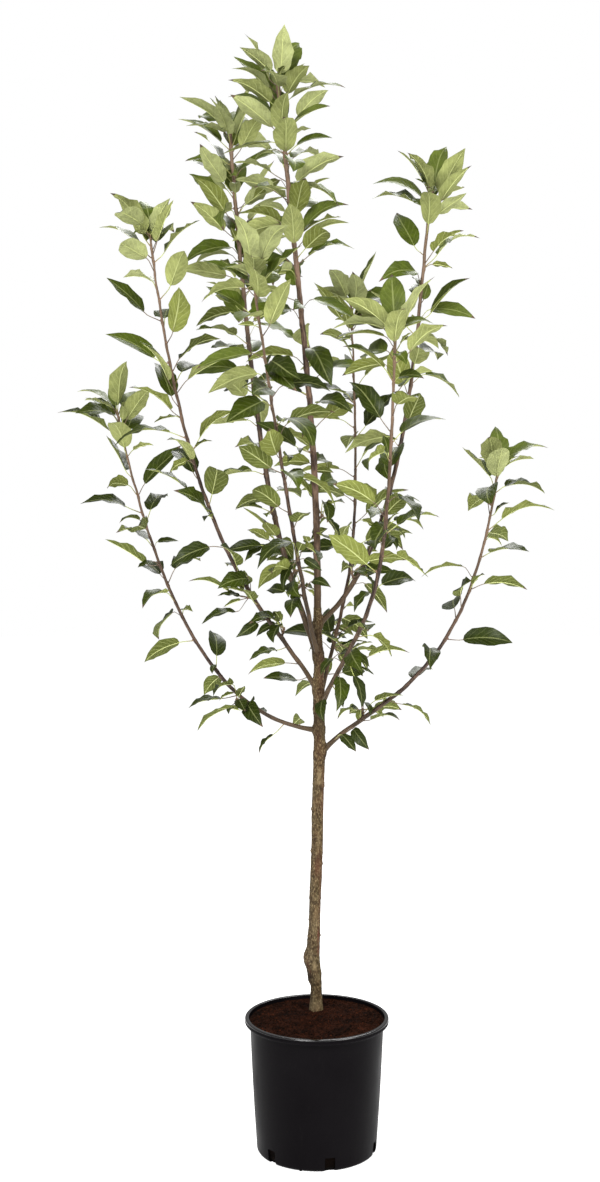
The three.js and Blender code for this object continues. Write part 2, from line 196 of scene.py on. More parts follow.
# a finish of two tones in fine specks, with a little relief if it has a depth, in metres
def speckled(name, rough, scale, detail, dark, light, depth=0.0, strength=0.7):
    finish = Finish(name, Roughness=rough)
    speckle = finish.noise(scale, detail)
    finish.paint(dark, (finish.span(speckle, 0.35, 0.65), light))
    if depth:
        finish.bump(speckle, depth, strength)
    return finish.material


def addObject(name, data):
    made = bpy.data.objects.new(name, data)
    bpy.context.scene.collection.objects.link(made)
    return made


def shadeSmooth(mesh, sharp):
    mesh.shade_smooth()
    mesh.set_sharp_from_angle(angle=sharp * degree)


# a mesh becomes a piece that rides on the part's one body, in place of its plain solids
def addPiece(mesh, materials, slot, nodes=(), sharp=60):
    piece = addObject(mesh.name, mesh)
    for material in materials:
        mesh.materials.append(material)
    shadeSmooth(mesh, sharp)
    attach(piece, "root")
    if nodes:
        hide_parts(*nodes)
    return piece


def toMesh(name, bm):
    mesh = bpy.data.meshes.new(name)
    bm.to_mesh(mesh)
    bm.free()
    return mesh


def meshOf(name, bm):
    bmesh.ops.recalc_face_normals(bm, faces=bm.faces)
    bmesh.ops.scale(bm, vec=(millimetre,) * 3, verts=bm.verts)
    return toMesh(name, bm)


# a flat grid rolled up: place(around, along) puts each of its points, both from 0 to 1
def rollUp(bm, sides, rings, place):
    made = bmesh.ops.create_grid(bm, x_segments=sides, y_segments=rings, size=0.5, calc_uvs=True)["verts"]
    for vert in made:
        vert.co = place(vert.co.x + 0.5, vert.co.y + 0.5)
    bmesh.ops.remove_doubles(bm, verts=made, dist=0.0005)


def newShape():
    bm = bmesh.new()
    bm.loops.layers.uv.new("UVMap")
    return bm


def closeEnds(bm):
    bmesh.ops.holes_fill(bm, edges=[edge for edge in bm.edges if edge.is_boundary], sides=0)


# the trunk: a root flare, a waist, the graft union's bulge above it, then a slow taper
trunk = {
    "cutHeight": 263,
    "depth": (48, 35),  # how far it stands behind the pot's middle, at its foot and its top
    "stations": [  # height, place along X, diameter
        (263, -1, 25.6), (280, -1, 23.6), (302, -1, 21.2), (325, -4, 25.8), (372, -9, 30.4), (396, -6, 25),
        (440, -4, 22.2), (620, 1, 22), (800, 5, 21.6), (900, 4, 19.4), (1060, 1, 14.2),
    ],
    "sides": 44,
    "step": 2.4,
    "sunk": 9,  # below the compost
    "flare": (0.06, 14),  # share and height
    "swell": 0.5,  # bark over the plain radius
    # depth, fineness, length and place of each layer of grain
    "grain": [(0.6, 1.1, 70, 0, 0), (0.4, 3.2, 16, 3, 1), (0.28, 7.5, 6, 7, 5)],
    "rings": [(715, 0.9), (578, 0.8), (488, 0.9), (412, 0.7), (930, 0.8)],  # height, size of old scars
    "ringShape": [(0.75, 0, 1.7), (-0.55, -4, 1.8)],  # its ridge and groove: share, place, width
    "ringWander": (2.4, 1.4),  # how far up and down they wander, and how often
    "nubs": [  # height, bearing, size of dormant buds
        (665, 183, 2.2), (582, 180, 1.9), (444, 176, 1.6), (711, 2, 1.9), (556, -4, 1.8),
        (412, 5, 1.5), (632, 96, 2.0), (520, 70, 1.8), (760, 118, 1.9), (742, -60, 1.2),
    ],
    "nubShape": (0.8, 1.25, 1.25),  # squeezed above, stretched below, and spread
    "union": (362, 212, 3.2, 0.9, 0.9, 3.4375),  # the same six for the graft's knob
    "graft": (345, 48),  # height and spread of the rough bark round the graft
    "graftGrain": [(1.5, 2.4, 11, 11, 2), (0.7, 6.0, 5, 1, 12)],
    "waist": (312, 5, 1.5, 150, 0.6),  # height, width, depth, bearing and evenness of the groove under it
    "marks": {  # height, bearing, half height, half width in degrees, strength
        # dark bark, and painted shade: the marks at 845, 905 and 985 mm paint the shade that the crown casts
        # on the trunk round the fork
        "dark": [
            (331, 215, 11, 48, 1.0), (300, 195, 26, 45, 0.65), (318, 280, 5, 60, 0.5),
            (343, 284, 2.6, 8, 1.0), (376, 283, 4, 22, 0.7), (392, 300, 12, 10, 0.5),
            (708, 285, 8, 70, 0.45), (845, 270, 42, 200, 0.6), (768, 330, 12, 30, 0.5),
            (481, 275, 3, 60, 0.6), (572, 270, 12, 60, 0.35), (660, 270, 24, 25, 0.3),
            (985, 270, 46, 200, 0.65), (905, 300, 26, 60, 0.4),
        ],
        "warm": [
            (414, 312, 15, 13, 0.9), (385, 318, 11, 14, 0.85), (368, 192, 16, 24, 0.55),
            (352, 238, 22, 9, 0.6), (560, 285, 30, 40, 0.5), (800, 250, 40, 60, 0.3),
            (940, 290, 80, 70, 0.3), (530, 330, 80, 30, 0.45), (690, 330, 60, 30, 0.45),
        ],
        "pale": [
            (355, 283, 12, 16, 0.7), (346, 288, 4, 10, 0.6), (374, 265, 8, 14, 0.5),
            (332, 300, 10, 30, 0.35), (720, 275, 5, 50, 0.5), (733, 272, 16, 22, 0.5),
            (490, 280, 3, 50, 0.4), (580, 262, 3, 30, 0.4), (608, 282, 20, 14, 0.4),
            (275, 270, 14, 200, 0.35), (440, 275, 40, 30, 0.3),
        ],
    },
}

# the limbs: root is a height on the trunk, tip the end of the wood. launch and finish are slopes
# there, pull says how far each carries, swing turns them aside, bare is the clean wood's length and
# vigour is how closely its buds follow each other.
limbKeys = "root", "tip", "launch", "finish", "pull", "swing", "diameter", "fining", "bare", "vigour", "seed"
limbs = {
    "leader": (1060, (-75, 18, 2053), 90, 84, (0.32, 0.56), (0, 0), (14.2, 7.6), 1.3, 80, 1.05, 869),
    "left-high": (962, (-172, 195, 1995), 63, 84, (0.24, 0.68), (-1, 0), (11.4, 6.6), 1, 110, 1.3, 1671),
    "left-middle": (892, (-308, -70, 1756), 61, 83, (0.21, 0.7), (0, 0), (9.2, 3.6), 1, 90, 1, 1680),
    "left-low": (821, (-390, 110, 1439), 1, 78, (0.28, 0.54), (-9, -3), (8.8, 3.4), 1, 120, 0.95, 184),
    "right-low": (771, (353, 90, 1330), 51, 83, (0.22, 0.7), (0, 0), (9.8, 3.8), 1, 80, 0.9, 889),
    "right-high": (1028, (225, 130, 1866), 35, 78, (0.29, 0.18), (-5, -1), (9.8, 5.4), 1, 80, 1, 1445),
    "right-front": (862, (137, -190, 1578), 51, 87, (0.43, 0.7), (1, 0), (9.8, 4.2), 1, 110, 1.05, 21),
    "left-front": (971, (-116, -200, 1676), 31, 78, (0.1, 0.1), (8, 0), (9, 3.6), 1, 90, 1, 346),
    "rear": (873, (71, 270, 1664), 46, 97, (0.42, 0.7), (0, -7), (8.2, 3.4), 1, 110, 0.9, 551),
}
limbs = {name: dict(zip(limbKeys, values)) for name, values in limbs.items()}

# how leaves stand on a limb; pairs run from the foot of the leafy part to its top
growth = {
    "firstBud": 24,  # from the end of the clean wood
    "spacing": (80, 28),
    "unevenness": 0.5,
    "thickening": (0.1, 0.46),  # shares of the length between which the buds close up
    "oldWood": 0.5,  # spurs stand below this share of that stretch
    "turn": 137.5,
    "turnSpread": 40,
    "opening": (62, 46),  # angle between shoot and stalk
    "openingSpread": 24,
    "slope": (-12, 28),  # slope of the blade above level
    "slopeSpread": 116,
    "follow": 0.38,  # how far that slope gives way to the stalk's own
    "roll": 104,
    "tries": 10,
    "stalk": (28, 40),
    "blade": (74, 108),
    "bladeSpread": 0.2,
}
rosette = {"leaves": 9, "length": 64, "opening": 36, "slope": 48, "spread": 0.75, "stalk": 0.74}
spur = {
    "length": 20, "opening": 58, "leaves": 3, "budStep": 5, "diameter": (4.4, 5.2),
    "sides": 8, "rings": 14, "past": 3, "ridges": (0.45, 34), "blunt": 0.2,
}

# the blade: its outline, its fold along the midrib and its bend from stalk to tip
blade = {"breadth": 0.52, "foot": 0.82, "round": 0.62, "drawnOut": 0.2, "fold": (14, 34), "curl": (14, 62)}

# a blade keeps clear by a grid of points on it: distances from leaves, its own wood and other spaces
clear = {"start": 0.16, "rows": 6, "columns": 2, "apart": 11, "fromWood": 8, "fromNeighbour": 4, "near": 160}
pathSteps = 24


# a curve walked by its length: pointAt takes an array of parameters from 0 to 1
class Path:
    divisions = 200
    delta = 0.0001

    def __init__(self, pointAt):
        self.pointAt = pointAt
        self.steps = np.linspace(0, 1, self.divisions + 1)
        runs = np.linalg.norm(np.diff(pointAt(self.steps), axis=0), axis=1)
        self.lengths = np.concatenate([[0], np.cumsum(runs)])
        self.total = float(self.lengths[-1])

    def parameters(self, shares):
        return np.interp(np.atleast_1d(shares) * self.total, self.lengths, self.steps)

    def points(self, shares):
        return self.pointAt(self.parameters(shares))

    def tangents(self, shares):
        at = self.parameters(shares)
        before, after = np.maximum(at - self.delta, 0), np.minimum(at + self.delta, 1)
        return units(self.pointAt(after) - self.pointAt(before))


# a smooth value between the trunk's stations, level at each: column 1 is X, 2 is the diameter
def trunkValue(column, height):
    stations = trunk["stations"]
    upper = next((i for i, station in enumerate(stations) if station[0] > height), len(stations) - 1)
    low, high = stations[max(1, upper) - 1], stations[max(1, upper)]
    return mix(low[column], high[column], smoothStep((height - low[0]) / (high[0] - low[0])))


trunkTop = trunk["stations"][-1][0]


def trunkPoint(height):
    share = (height - trunk["cutHeight"]) / (trunkTop - trunk["cutHeight"])
    return np.array([trunkValue(1, height), mix(*trunk["depth"], share), height])


def limbPath(limb):
    root = trunkPoint(limb["root"])
    tip = np.array(limb["tip"], float)
    azimuth = math.atan2(tip[1] - root[1], tip[0] - root[0])
    reach = np.linalg.norm(tip - root)
    away = heading(azimuth + limb["swing"][0] * degree, limb["launch"] * degree)
    home = heading(azimuth + limb["swing"][1] * degree, limb["finish"] * degree)
    first = root + away * limb["pull"][0] * reach
    second = tip - home * limb["pull"][1] * reach

    def pointAt(shares):
        t = np.asarray(shares)[:, None]
        s = 1 - t
        return s**3 * root + 3 * s**2 * t * first + 3 * s * t**2 * second + t**3 * tip

    return Path(pointAt)


def limbRadius(limb, share):
    base, tip = limb["diameter"]
    return (tip + (base - tip) * (1 - share) ** limb["fining"]) / 2


# a point on a shoot, the shoot's direction there and two directions across it
def frameOf(point, along):
    reference = np.array([1.0, 0, 0] if abs(along[1]) > 0.9 else [0, 1.0, 0])
    across = np.cross(along, reference)
    across /= np.linalg.norm(across)
    return {"point": point, "along": along, "across": across, "over": np.cross(along, across)}


def frameAt(path, share):
    return frameOf(path.points(share)[0], path.tangents(share)[0])


def sideways(shoot, turn):
    return shoot["across"] * math.cos(turn) + shoot["over"] * math.sin(turn)


# the direction that leaves a shoot at an angle to it, on the side given by a turn
def branchDirection(shoot, turn, opening):
    return shoot["along"] * math.cos(opening) + sideways(shoot, turn) * math.sin(opening)


def trunkLine(shares):
    return np.array([trunkPoint(mix(trunk["cutHeight"], trunkTop, share)) for share in shares])


curves = {name: limbPath(limb) for name, limb in limbs.items()}
curves["trunk"] = Path(trunkLine)
paths = {name: curve.points(np.linspace(0, 1, pathSteps + 1)) for name, curve in curves.items()}


def halfWidth(length, share):
    outline = np.sin(np.pi * share ** blade["foot"]) ** blade["round"] * (1 - blade["drawnOut"] * share)
    return length * blade["breadth"] * 0.5 * outline


# points on the plain blade that the growing rule tests
def bladeGrid(leaf):
    rows = np.linspace(clear["start"], 1, clear["rows"] + 1)
    sides = np.linspace(-1, 1, 2 * clear["columns"] + 1)
    share, side = [axis.ravel() for axis in np.meshgrid(rows, sides, indexing="ij")]
    bend = leaf["curl"] * share
    run = leaf["length"] * np.sin(bend) / leaf["curl"]
    drop = leaf["length"] * (1 - np.cos(bend)) / leaf["curl"]
    width = halfWidth(leaf["length"], np.minimum(share, 1 - 1e-12))
    lift = np.abs(side) * width * math.sin(leaf["fold"])
    along = (run + lift * np.sin(bend))[:, None] * leaf["along"]
    face = (lift * np.cos(bend) - drop)[:, None] * leaf["face"]
    return leaf["base"] + along + face + (side * width * math.cos(leaf["fold"]))[:, None] * leaf["across"]


def distanceToWood(points, starts, ends):
    run = ends - starts
    offset = points[:, None] - starts[None]
    share = np.clip((offset * run).sum(2) / (run * run).sum(1), 0, 1)
    return np.linalg.norm(offset - share[..., None] * run, axis=2).min(1)


# a blade keeps to the space that is nearer its own limb than any other wood
def inOwnSpace(grid, name):
    own = distanceToWood(grid, paths[name][:-1], paths[name][1:])
    if (own < clear["fromWood"]).any():
        return False
    others = [path for other, path in paths.items() if other != name]
    starts = np.concatenate([path[:-1] for path in others])
    ends = np.concatenate([path[1:] for path in others])
    return bool((distanceToWood(grid, starts, ends) > own + clear["fromNeighbour"]).all())


def clearOfLeaves(grid, leaves, apart):
    if not leaves:
        return True
    theirs = np.concatenate([leaf["grid"] for leaf in leaves])
    near = np.abs(theirs - grid.mean(0)).max(1) < clear["near"]
    gaps = np.linalg.norm(theirs[near][:, None] - grid[None], axis=2)
    return gaps.size == 0 or bool(gaps.min() > apart)


# one leaf on a bud: top runs up the limb, and tipward up the rosette, both from 0 to 1
def makeLeaf(shoot, top, tipward, turn, size, random):
    def spread(width):
        return width * (random() - 0.5)

    opening = mix(mix(*growth["opening"], top), rosette["opening"], tipward) + spread(growth["openingSpread"])
    slope = mix(mix(*growth["slope"], top), rosette["slope"], tipward)
    wayward = slope + spread(growth["slopeSpread"] * mix(1, rosette["spread"], tipward))
    roll = spread(growth["roll"]) * degree
    stalk = mix(*growth["stalk"], random()) * mix(1, rosette["stalk"], tipward)
    outward = branchDirection(shoot, turn * degree, opening * degree)
    azimuth = math.atan2(outward[1], outward[0])
    rise = mix(wayward * degree, math.asin(outward[2]), growth["follow"])
    along = heading(azimuth, rise)
    level = heading(azimuth, rise + 90 * degree)
    face = level * math.cos(roll) + np.cross(level, along) * math.sin(roll)
    return {
        "root": shoot["point"],
        "shoot": shoot["along"],
        "outward": outward,
        "base": shoot["point"] + outward * stalk,
        "along": along,
        "face": face,
        "across": np.cross(face, along),
        "length": size,
        "fold": mix(*blade["fold"], random()) * degree,
        "curl": mix(*blade["curl"], random()) * degree,
        "top": top,
        "tipward": tipward,
    }


# how far up the rosette at a limb's end a place is
def tipwardAt(curve, place):
    return clamp(1 - (curve.total - place) / rosette["length"])


# where the spurs of the old wood end
def oldWoodEnd(curve):
    return mix(*growth["thickening"], growth["oldWood"]) * curve.total


# the leaves of one limb, bud by bud from the end of its bare wood to its tip: a bud of the old wood
# bears a spur with a few leaves, and a bud of the young shoot one leaf
def growLeaves(name):
    limb = limbs[name]
    curve = curves[name]
    random = seededRandom(limb["seed"])
    leaves, spurs, buds = [], [], []
    turn = random() * 360
    place = limb["bare"] + growth["firstBud"] * (1 + random())
    while place <= curve.total:
        top = place / curve.total
        tipward = tipwardAt(curve, place)
        low, high = growth["thickening"]
        closing = clamp((top - low) / (high - low))
        onSpur = closing < growth["oldWood"]
        shoot = frameAt(curve, top)
        direction = branchDirection(shoot, turn * degree, spur["opening"] * degree)
        if onSpur:
            spurs.append({"start": shoot["point"], "direction": direction, "place": place, "turn": turn})
        for number in range(spur["leaves"] if onSpur else 1):
            out = spur["length"] - spur["budStep"] * (number + 0.5)
            bud = frameOf(shoot["point"] + direction * out, direction) if onSpur else shoot
            size = mix(*growth["blade"], closing) * (1 - growth["bladeSpread"] * random())
            for _ in range(growth["tries"]):
                turn += growth["turn"] + growth["turnSpread"] * (random() - 0.5)
                leaf = makeLeaf(bud, top, tipward, turn, size, random)
                leaf["grid"] = bladeGrid(leaf)
                if inOwnSpace(leaf["grid"], name) and clearOfLeaves(leaf["grid"], leaves, clear["apart"]):
                    leaf["bark"] = spur["diameter"][0] / 2 if onSpur else limbRadius(limb, top)
                    leaves.append(leaf)
                    if not onSpur:
                        buds.append({"place": place, "turn": turn})
                    break
        spacing = mix(*growth["spacing"], closing) * (1 + growth["unevenness"] * (2 * random() - 1))
        place += (rosette["length"] / rosette["leaves"] if tipward > 0 else spacing) / limb["vigour"]
    return leaves, spurs, buds


# finer growth in the same reach: leaves between the first ones and at the lowest limbs' feet, and
# small leaves on the spurs, beside some buds and round the tip
young = {
    "seedStep": 7000,  # added to the limb's seed
    "between": 16,  # mm from one further leaf's place to the next
    "full": {"leader": 1.6, "left-high": 1.4, "right-high": 0.4},  # chance that one grows there
    "fullElse": 0.1,
    "fullFrom": (0.5, 0.85),  # shares of the limb between which the chance comes in
    "betweenBlade": (70, 106),
    "betweenApart": 5.5,
    "low": 34,  # mm between places on the old wood
    "lowShare": 0.6,
    "lowBlade": (44, 80),
    "footBelow": 900,  # limbs that leave the trunk below this height have leaves at their foot too
    "footFrom": 40,
    "footStep": 31,
    "onSpur": 4,
    "onSpurBack": 2,  # from the spur's end
    "beside": 0.3,  # chance at a bud of the young shoot
    "atTip": 6,
    "tipLength": 16,
    "blade": (30, 58),
    "tipBlade": (30, 70),
    "stalk": 0.5,
    "apart": 5,
    "tries": 18,
}


def growYoung(name, leaves, spurs, buds):
    curve = curves[name]
    random = seededRandom(limbs[name]["seed"] + young["seedStep"])
    small = []

    def grow(shoot, top, tipward, sizes, stalkShare=young["stalk"], apart=young["apart"]):
        size = mix(*sizes, random())
        for _ in range(young["tries"]):
            leaf = makeLeaf(shoot, top, tipward, random() * 360, size, random)
            leaf["base"] = mix(leaf["root"], leaf["base"], stalkShare)
            leaf["grid"] = bladeGrid(leaf)
            if inOwnSpace(leaf["grid"], name) and clearOfLeaves(leaf["grid"], leaves + small, apart):
                small.append(leaf)
                return

    # larger leaves on a stretch of the limb, each with the chance that it has at its place
    def growAlong(start, end, step, sizes, chance=None):
        for place in np.arange(start, end, step):
            top = place / curve.total
            if chance is None or random() < chance(top):
                grow(frameAt(curve, top), top, tipwardAt(curve, place), sizes, 1, young["betweenApart"])

    def fullness(top):
        return full * smoothStep((top - low) / (high - low))

    low, high = young["fullFrom"]
    full = young["full"].get(name, young["fullElse"])
    leafyFrom = limbs[name]["bare"] + growth["firstBud"]
    end = oldWoodEnd(curve)
    growAlong(leafyFrom, end, young["low"], young["lowBlade"], lambda top: young["lowShare"])
    growAlong(end, curve.total, young["between"], young["betweenBlade"], fullness)
    for twig in spurs:
        bud = twig["start"] + twig["direction"] * (spur["length"] - young["onSpurBack"])
        for _ in range(young["onSpur"]):
            grow(frameOf(bud, twig["direction"]), twig["place"] / curve.total, 0, young["blade"])
    for bud in buds:
        top = bud["place"] / curve.total
        if random() < young["beside"]:
            grow(frameAt(curve, top), top, 0, young["blade"])
    for number in range(young["atTip"]):
        share = 1 - young["tipLength"] * (number + 1) / young["atTip"] / curve.total
        grow(frameAt(curve, share), 1, 1, young["tipBlade"])
    if limbs[name]["root"] < young["footBelow"]:
        growAlong(young["footFrom"], leafyFrom, young["footStep"], young["lowBlade"])
    return small


grown = {}
for name in limbs:
    leaves, spurs, buds = growLeaves(name)
    small = growYoung(name, leaves, spurs, buds)
    grown[name] = {"first": leaves, "all": leaves + small, "spurs": spurs, "buds": buds}
print("leaves grown:", {name: (len(own["first"]), len(own["all"])) for name, own in grown.items()})


# bark: colours as seen
bark = {
    "olive": tone(72, 59, 34),
    "brown": tone(83, 62, 40),
    # painted shade: a greyer tint on the side towards -X, for the shade on that side
    "shadeGrey": tone(75, 66, 51),  # towards -X
    # dark bark, also used for the painted shade of the crown round the fork
    "dark": tone(32, 22, 13),
    "red": tone(84, 45, 34),
    "pale": tone(136, 119, 88),
    "speck": tone(40, 28, 14),
    "lenticel": tone(128, 108, 80),
    "foot": tone(72, 56, 35),  # of the limbs, where they leave the trunk
    "young": (tone(40, 28, 22), tone(94, 73, 58)),  # shaded and lit tints of the shoots
    # painted shade and painted highlight tints of the leader
    "youngLeader": (tone(56, 40, 33), tone(122, 96, 79)),
    "youngTip": tone(128, 105, 84),
}


def trunkBark():
    finish = Finish("trunk-bark", Roughness=0.75, Specular_IOR_Level=0.15)
    span = finish.span
    streaks = finish.noise(380, 4.0, along=0.16)
    patches = finish.noise(52, 4.0, 0.6, along=0.4)
    fine = finish.noise(420, 3.0, 0.6, along=0.5)
    specks = finish.noise(240, 3.0, 0.6, along=0.7)
    lenticels = span(finish.dots(120, 2.2), 0.1, 0.2, 1, 0)
    # painted shade: the bark turns greyer on the side towards -X, for the shade on that side
    shadedSide = finish.axis("Object", "X") + (patches - 0.5) * 0.02
    marks = []
    # the dark marks are partly dark bark and partly painted shade of the crown round the fork
    for mark, tint in (("warm", bark["red"]), ("pale", bark["pale"]), ("dark", bark["dark"])):
        made = finish.node("Attribute", {"attribute_name": mark}, output="Fac")
        marks.append((span(made + (streaks - 0.5) * 0.9 * made, 0.1, 0.85, 0, 0.85), tint))
    finish.paint(
        bark["olive"],
        (span(patches, 0.4, 0.62), bark["brown"]),
        (span(shadedSide, -0.016, 0.0, 0.8, 0), bark["shadeGrey"]),
        (span(streaks, 0.44, 0.68, 0, 0.75), bark["speck"]),
        (span(fine, 0.48, 0.66, 0, 0.75), bark["pale"]),
        (span(specks, 0.5, 0.64, 0, 0.85), bark["speck"]),
        *marks,
        (lenticels * 0.35, bark["lenticel"]),
    )
    finish.set(Roughness=span(streaks, 0.3, 0.7, 0.65, 0.88))
    finish.bump(streaks * 0.6 + fine * 0.5 + lenticels * 0.4, 0.002, 1.0)
    return finish.material


# shoot bark with painted shade and painted highlight: a lit tint in noise patches over a shaded one
def shootBark(name, shadeTint, lit):
    finish = Finish(name, Roughness=0.5, Specular_IOR_Level=0.25)
    span = finish.span
    along = finish.axis("UV", "Y")
    streaks = finish.noise(1, 5.0, 0.6, place=finish.wound(1.6, 44))
    cracks = finish.noise(1, 3.0, 0.6, place=finish.wound(3.2, 130))
    patches = finish.noise(30, 3.0)
    lenticels = span(finish.dots(130, 1.4), 0.08, 0.16, 1, 0)
    finish.paint(
        shadeTint,
        # painted highlight: patches of the lit tint over the painted shade
        (span(patches * 0.7 + streaks, 0.74, 0.98), lit),
        (span(along, 0.0, 0.3, 0.6, 0), bark["olive"]),
        (span(along + (patches - 0.5) * 0.06, 0.02, 0.08, 0.9, 0), bark["foot"]),
        (span(along, 0.5, 1.0, 0, 0.75), bark["youngTip"]),
        # painted shade in the cracks, low on the shoot
        (span(cracks, 0.48, 0.66) * span(along, 0.1, 0.5, 0.6, 0.1), shadeTint),
        (lenticels * 0.55, bark["lenticel"]),
    )
    finish.set(Roughness=span(streaks, 0.3, 0.7, 0.42, 0.62))
    finish.bump(streaks * 0.5 + cracks * 0.5 + lenticels * 0.6, 0.0006, 0.8)
    return finish.material


def turnedPoint(shoot, angle, radius):
    return shoot["point"] + sideways(shoot, angle) * radius


def bearingGap(first, second):
    return abs((first - second + 180) % 360 - 180) * degree


# the collar that the bark makes round a limb's foot
collar = {
    "reach": 70, "points": 36, "rise": 3.6, "width": 6,
    "wrinkle": 0.45, "wrinkleStep": 4.2, "wrinkleFrom": 8,
}


# points along the feet of all limbs, and the wood's radius at each
def limbFeet():
    feet = []
    for name, limb in limbs.items():
        if name != "leader":
            shares = np.linspace(0, collar["reach"] / curves[name].total, collar["points"])
            radii = [limbRadius(limb, share) for share in shares]
            feet.append(np.column_stack([curves[name].points(shares), radii]))
    return np.concatenate(feet)


knobs = [(*nub, *trunk["nubShape"]) for nub in trunk["nubs"]] + [trunk["union"]]


def grain(layers, way, height):
    spots = [way * fineness + Vector((x, y, height / length)) for _, fineness, length, x, y in layers]
    return sum(layer[0] * noise.noise(spot) for layer, spot in zip(layers, spots))


# how far the bark stands out or in at a height and bearing
def trunkRelief(height, bearing, radius, spot, feet):
    angle = bearing * degree
    way = Vector(heading(angle))
    relief = trunk["swell"] + grain(trunk["grain"], way, height)
    wander, often = trunk["ringWander"]
    for place, size in trunk["rings"]:
        gap = height - (place + wander * noise.noise(way * often + Vector((place, 0, 0))))
        relief += size * sum(share * hump(gap - offset, width) for share, offset, width in trunk["ringShape"])
    for place, side, size, above, below, spread in knobs:
        stretch = above if height > place else below
        gap = math.hypot((height - place) * stretch, radius * bearingGap(bearing, side))
        relief += size * hump(gap, size * spread)
    gap = max(0.0, float((np.linalg.norm(feet[:, :3] - spot, axis=1) - feet[:, 3]).min()))
    relief += collar["rise"] * hump(gap, collar["width"])
    gap -= collar["wrinkleFrom"]
    ripple = math.cos(gap * fullTurn / collar["wrinkleStep"])
    relief += collar["wrinkle"] * ripple * hump(gap, collar["wrinkleStep"])
    place, spread = trunk["graft"]
    relief += hump(height - place, spread) * grain(trunk["graftGrain"], way, height)
    place, width, depth, side, evenness = trunk["waist"]
    return relief - depth * hump(height - place, width) * clamp(evenness + math.cos(angle + side * degree))


# how strongly a kind of mark shows at a height and bearing
def markAt(kind, height, bearing):
    strength = 0
    for place, side, tall, wide, most in trunk["marks"][kind]:
        gap = bearingGap(bearing, side) / degree
        strength = max(strength, most * hump(height - place, tall) * hump(gap, wide))
    return strength


def makeTrunk():
    feet = limbFeet()
    low = trunk["cutHeight"] - trunk["sunk"]
    bm = newShape()

    def place(around, along):
        height = mix(low, trunkTop, along)
        bearing = around * 360
        clipped = max(height, trunk["cutHeight"])
        radius = trunkValue(2, clipped) / 2
        share, tall = trunk["flare"]
        flare = 1 + share * clamp((trunk["cutHeight"] + tall - height) / tall)
        axis = trunkPoint(clipped)
        outward = heading(bearing * degree)
        relief = trunkRelief(height, bearing, radius, axis + outward * radius, feet)
        spot = axis + outward * (radius * flare + relief)
        return Vector((spot[0], spot[1], height))

    rollUp(bm, trunk["sides"], round((trunkTop - low) / trunk["step"]), place)
    closeEnds(bm)
    for kind in trunk["marks"]:
        layer = bm.verts.layers.float.new(kind)
        for vert in bm.verts:
            axis = trunkPoint(max(vert.co.z, trunk["cutHeight"]))
            bearing = math.atan2(vert.co.y - axis[1], vert.co.x - axis[0]) / degree
            vert[layer] = markAt(kind, vert.co.z, bearing)
    addPiece(meshOf("trunk-wood", bm), [trunkBark()], "trunk", ["trunk"])


# the limbs' wood follows their curves, with swollen nodes, growth rings, collars and an end bud
wood = {
    "sides": 14,
    "step": 4,
    "flare": 0.5,  # extra radius at the trunk, as a share
    "flareLength": 12,
    "inside": 0.3,  # of the radius, where it starts in the middle of the trunk
    "node": 1.15,  # swelling under a bud
    "nodeLength": 3.6,
    "nodeReach": 3,  # of these lengths, beyond which it no longer counts
    "nodeBelow": 1.5,
    "nodeRound": 0.35,  # share of the swelling that goes all round
    "ring": 0.6,
    "ringPlaces": (-7, 0, 6),  # from the end of the old wood
    "ringWidth": 1.6,
    "uneven": 0.4,
    "unevenLength": 18,
    "wander": 1.5,
    "wanderLength": 38,
    "wanderFrom": (80, 60),  # lengths over which it comes in from the trunk and goes out at the tip
    "budLength": 9,
    "budRadius": (0.05, 1.2),  # at its point and where it is thickest, of the shoot's
    "budShape": (0.14, 0.6),  # how far round it starts, and how blunt it is
}


def makeLimb(name, material):
    limb = limbs[name]
    path = curves[name]
    places = grown[name]["buds"] + grown[name]["spurs"]
    seasonEnd = oldWoodEnd(path)
    seed = limb["seed"] % 97  # a place of its own in the noise
    rings = round(path.total / wood["step"])
    shares = np.linspace(0, 1, rings + 1)
    shoots = [frameOf(*both) for both in zip(path.points(shares), path.tangents(shares))]
    start = 0 if name == "leader" else trunkValue(2, limb["root"]) / 2
    bm = newShape()

    def place(around, share):
        distance = share * path.total
        toTip = path.total - distance
        angle = around * fullTurn
        base = limbRadius(limb, share)
        radius = base
        if name != "leader":
            radius *= 1 + wood["flare"] * math.exp(-max(0, distance - start) / wood["flareLength"])
            radius *= mix(wood["inside"], 1, smoothStep(distance / start))
        for bud in places:
            gap = distance - bud["place"]
            if abs(gap) < wood["nodeReach"] * wood["nodeLength"]:
                facing = max(0, math.cos(angle - bud["turn"] * degree)) ** 2
                facing = wood["nodeRound"] + (1 - wood["nodeRound"]) * facing
                radius += wood["node"] * facing * hump(gap + wood["nodeBelow"], wood["nodeLength"])
        for offset in wood["ringPlaces"]:
            radius += wood["ring"] * hump(distance - seasonEnd - offset, wood["ringWidth"])
        spot = Vector((math.cos(angle), math.sin(angle), distance / wood["unevenLength"] + seed))
        radius += wood["uneven"] * noise.noise(spot)
        if toTip < wood["budLength"]:
            first, blunt = wood["budShape"]
            bulge = math.sin(math.pi * min(1, (1 - toTip / wood["budLength"]) * (1 - first) + first)) ** blunt
            radius = base * mix(*wood["budRadius"], bulge) if toTip > 0.01 else 0
        shoot = shoots[round(share * rings)]
        comesIn, goesOut = wood["wanderFrom"]
        fade = smoothStep(distance / comesIn) * smoothStep(toTip / goesOut) * wood["wander"]
        drift = Vector((0, 0, distance / wood["wanderLength"] + seed))
        point = turnedPoint(shoot, angle, max(0, radius))
        point = point + shoot["across"] * fade * noise.noise(drift)
        return point + shoot["over"] * fade * noise.noise(drift + Vector((9, 0, 0)))

    rollUp(bm, wood["sides"], rings, place)
    for twig in grown[name]["spurs"]:
        addSpur(bm, twig)
    closeEnds(bm)
    addPiece(meshOf(f"{name}-wood", bm), [material], "bough", [f"{name}-bough", f"{name}-foliage"])


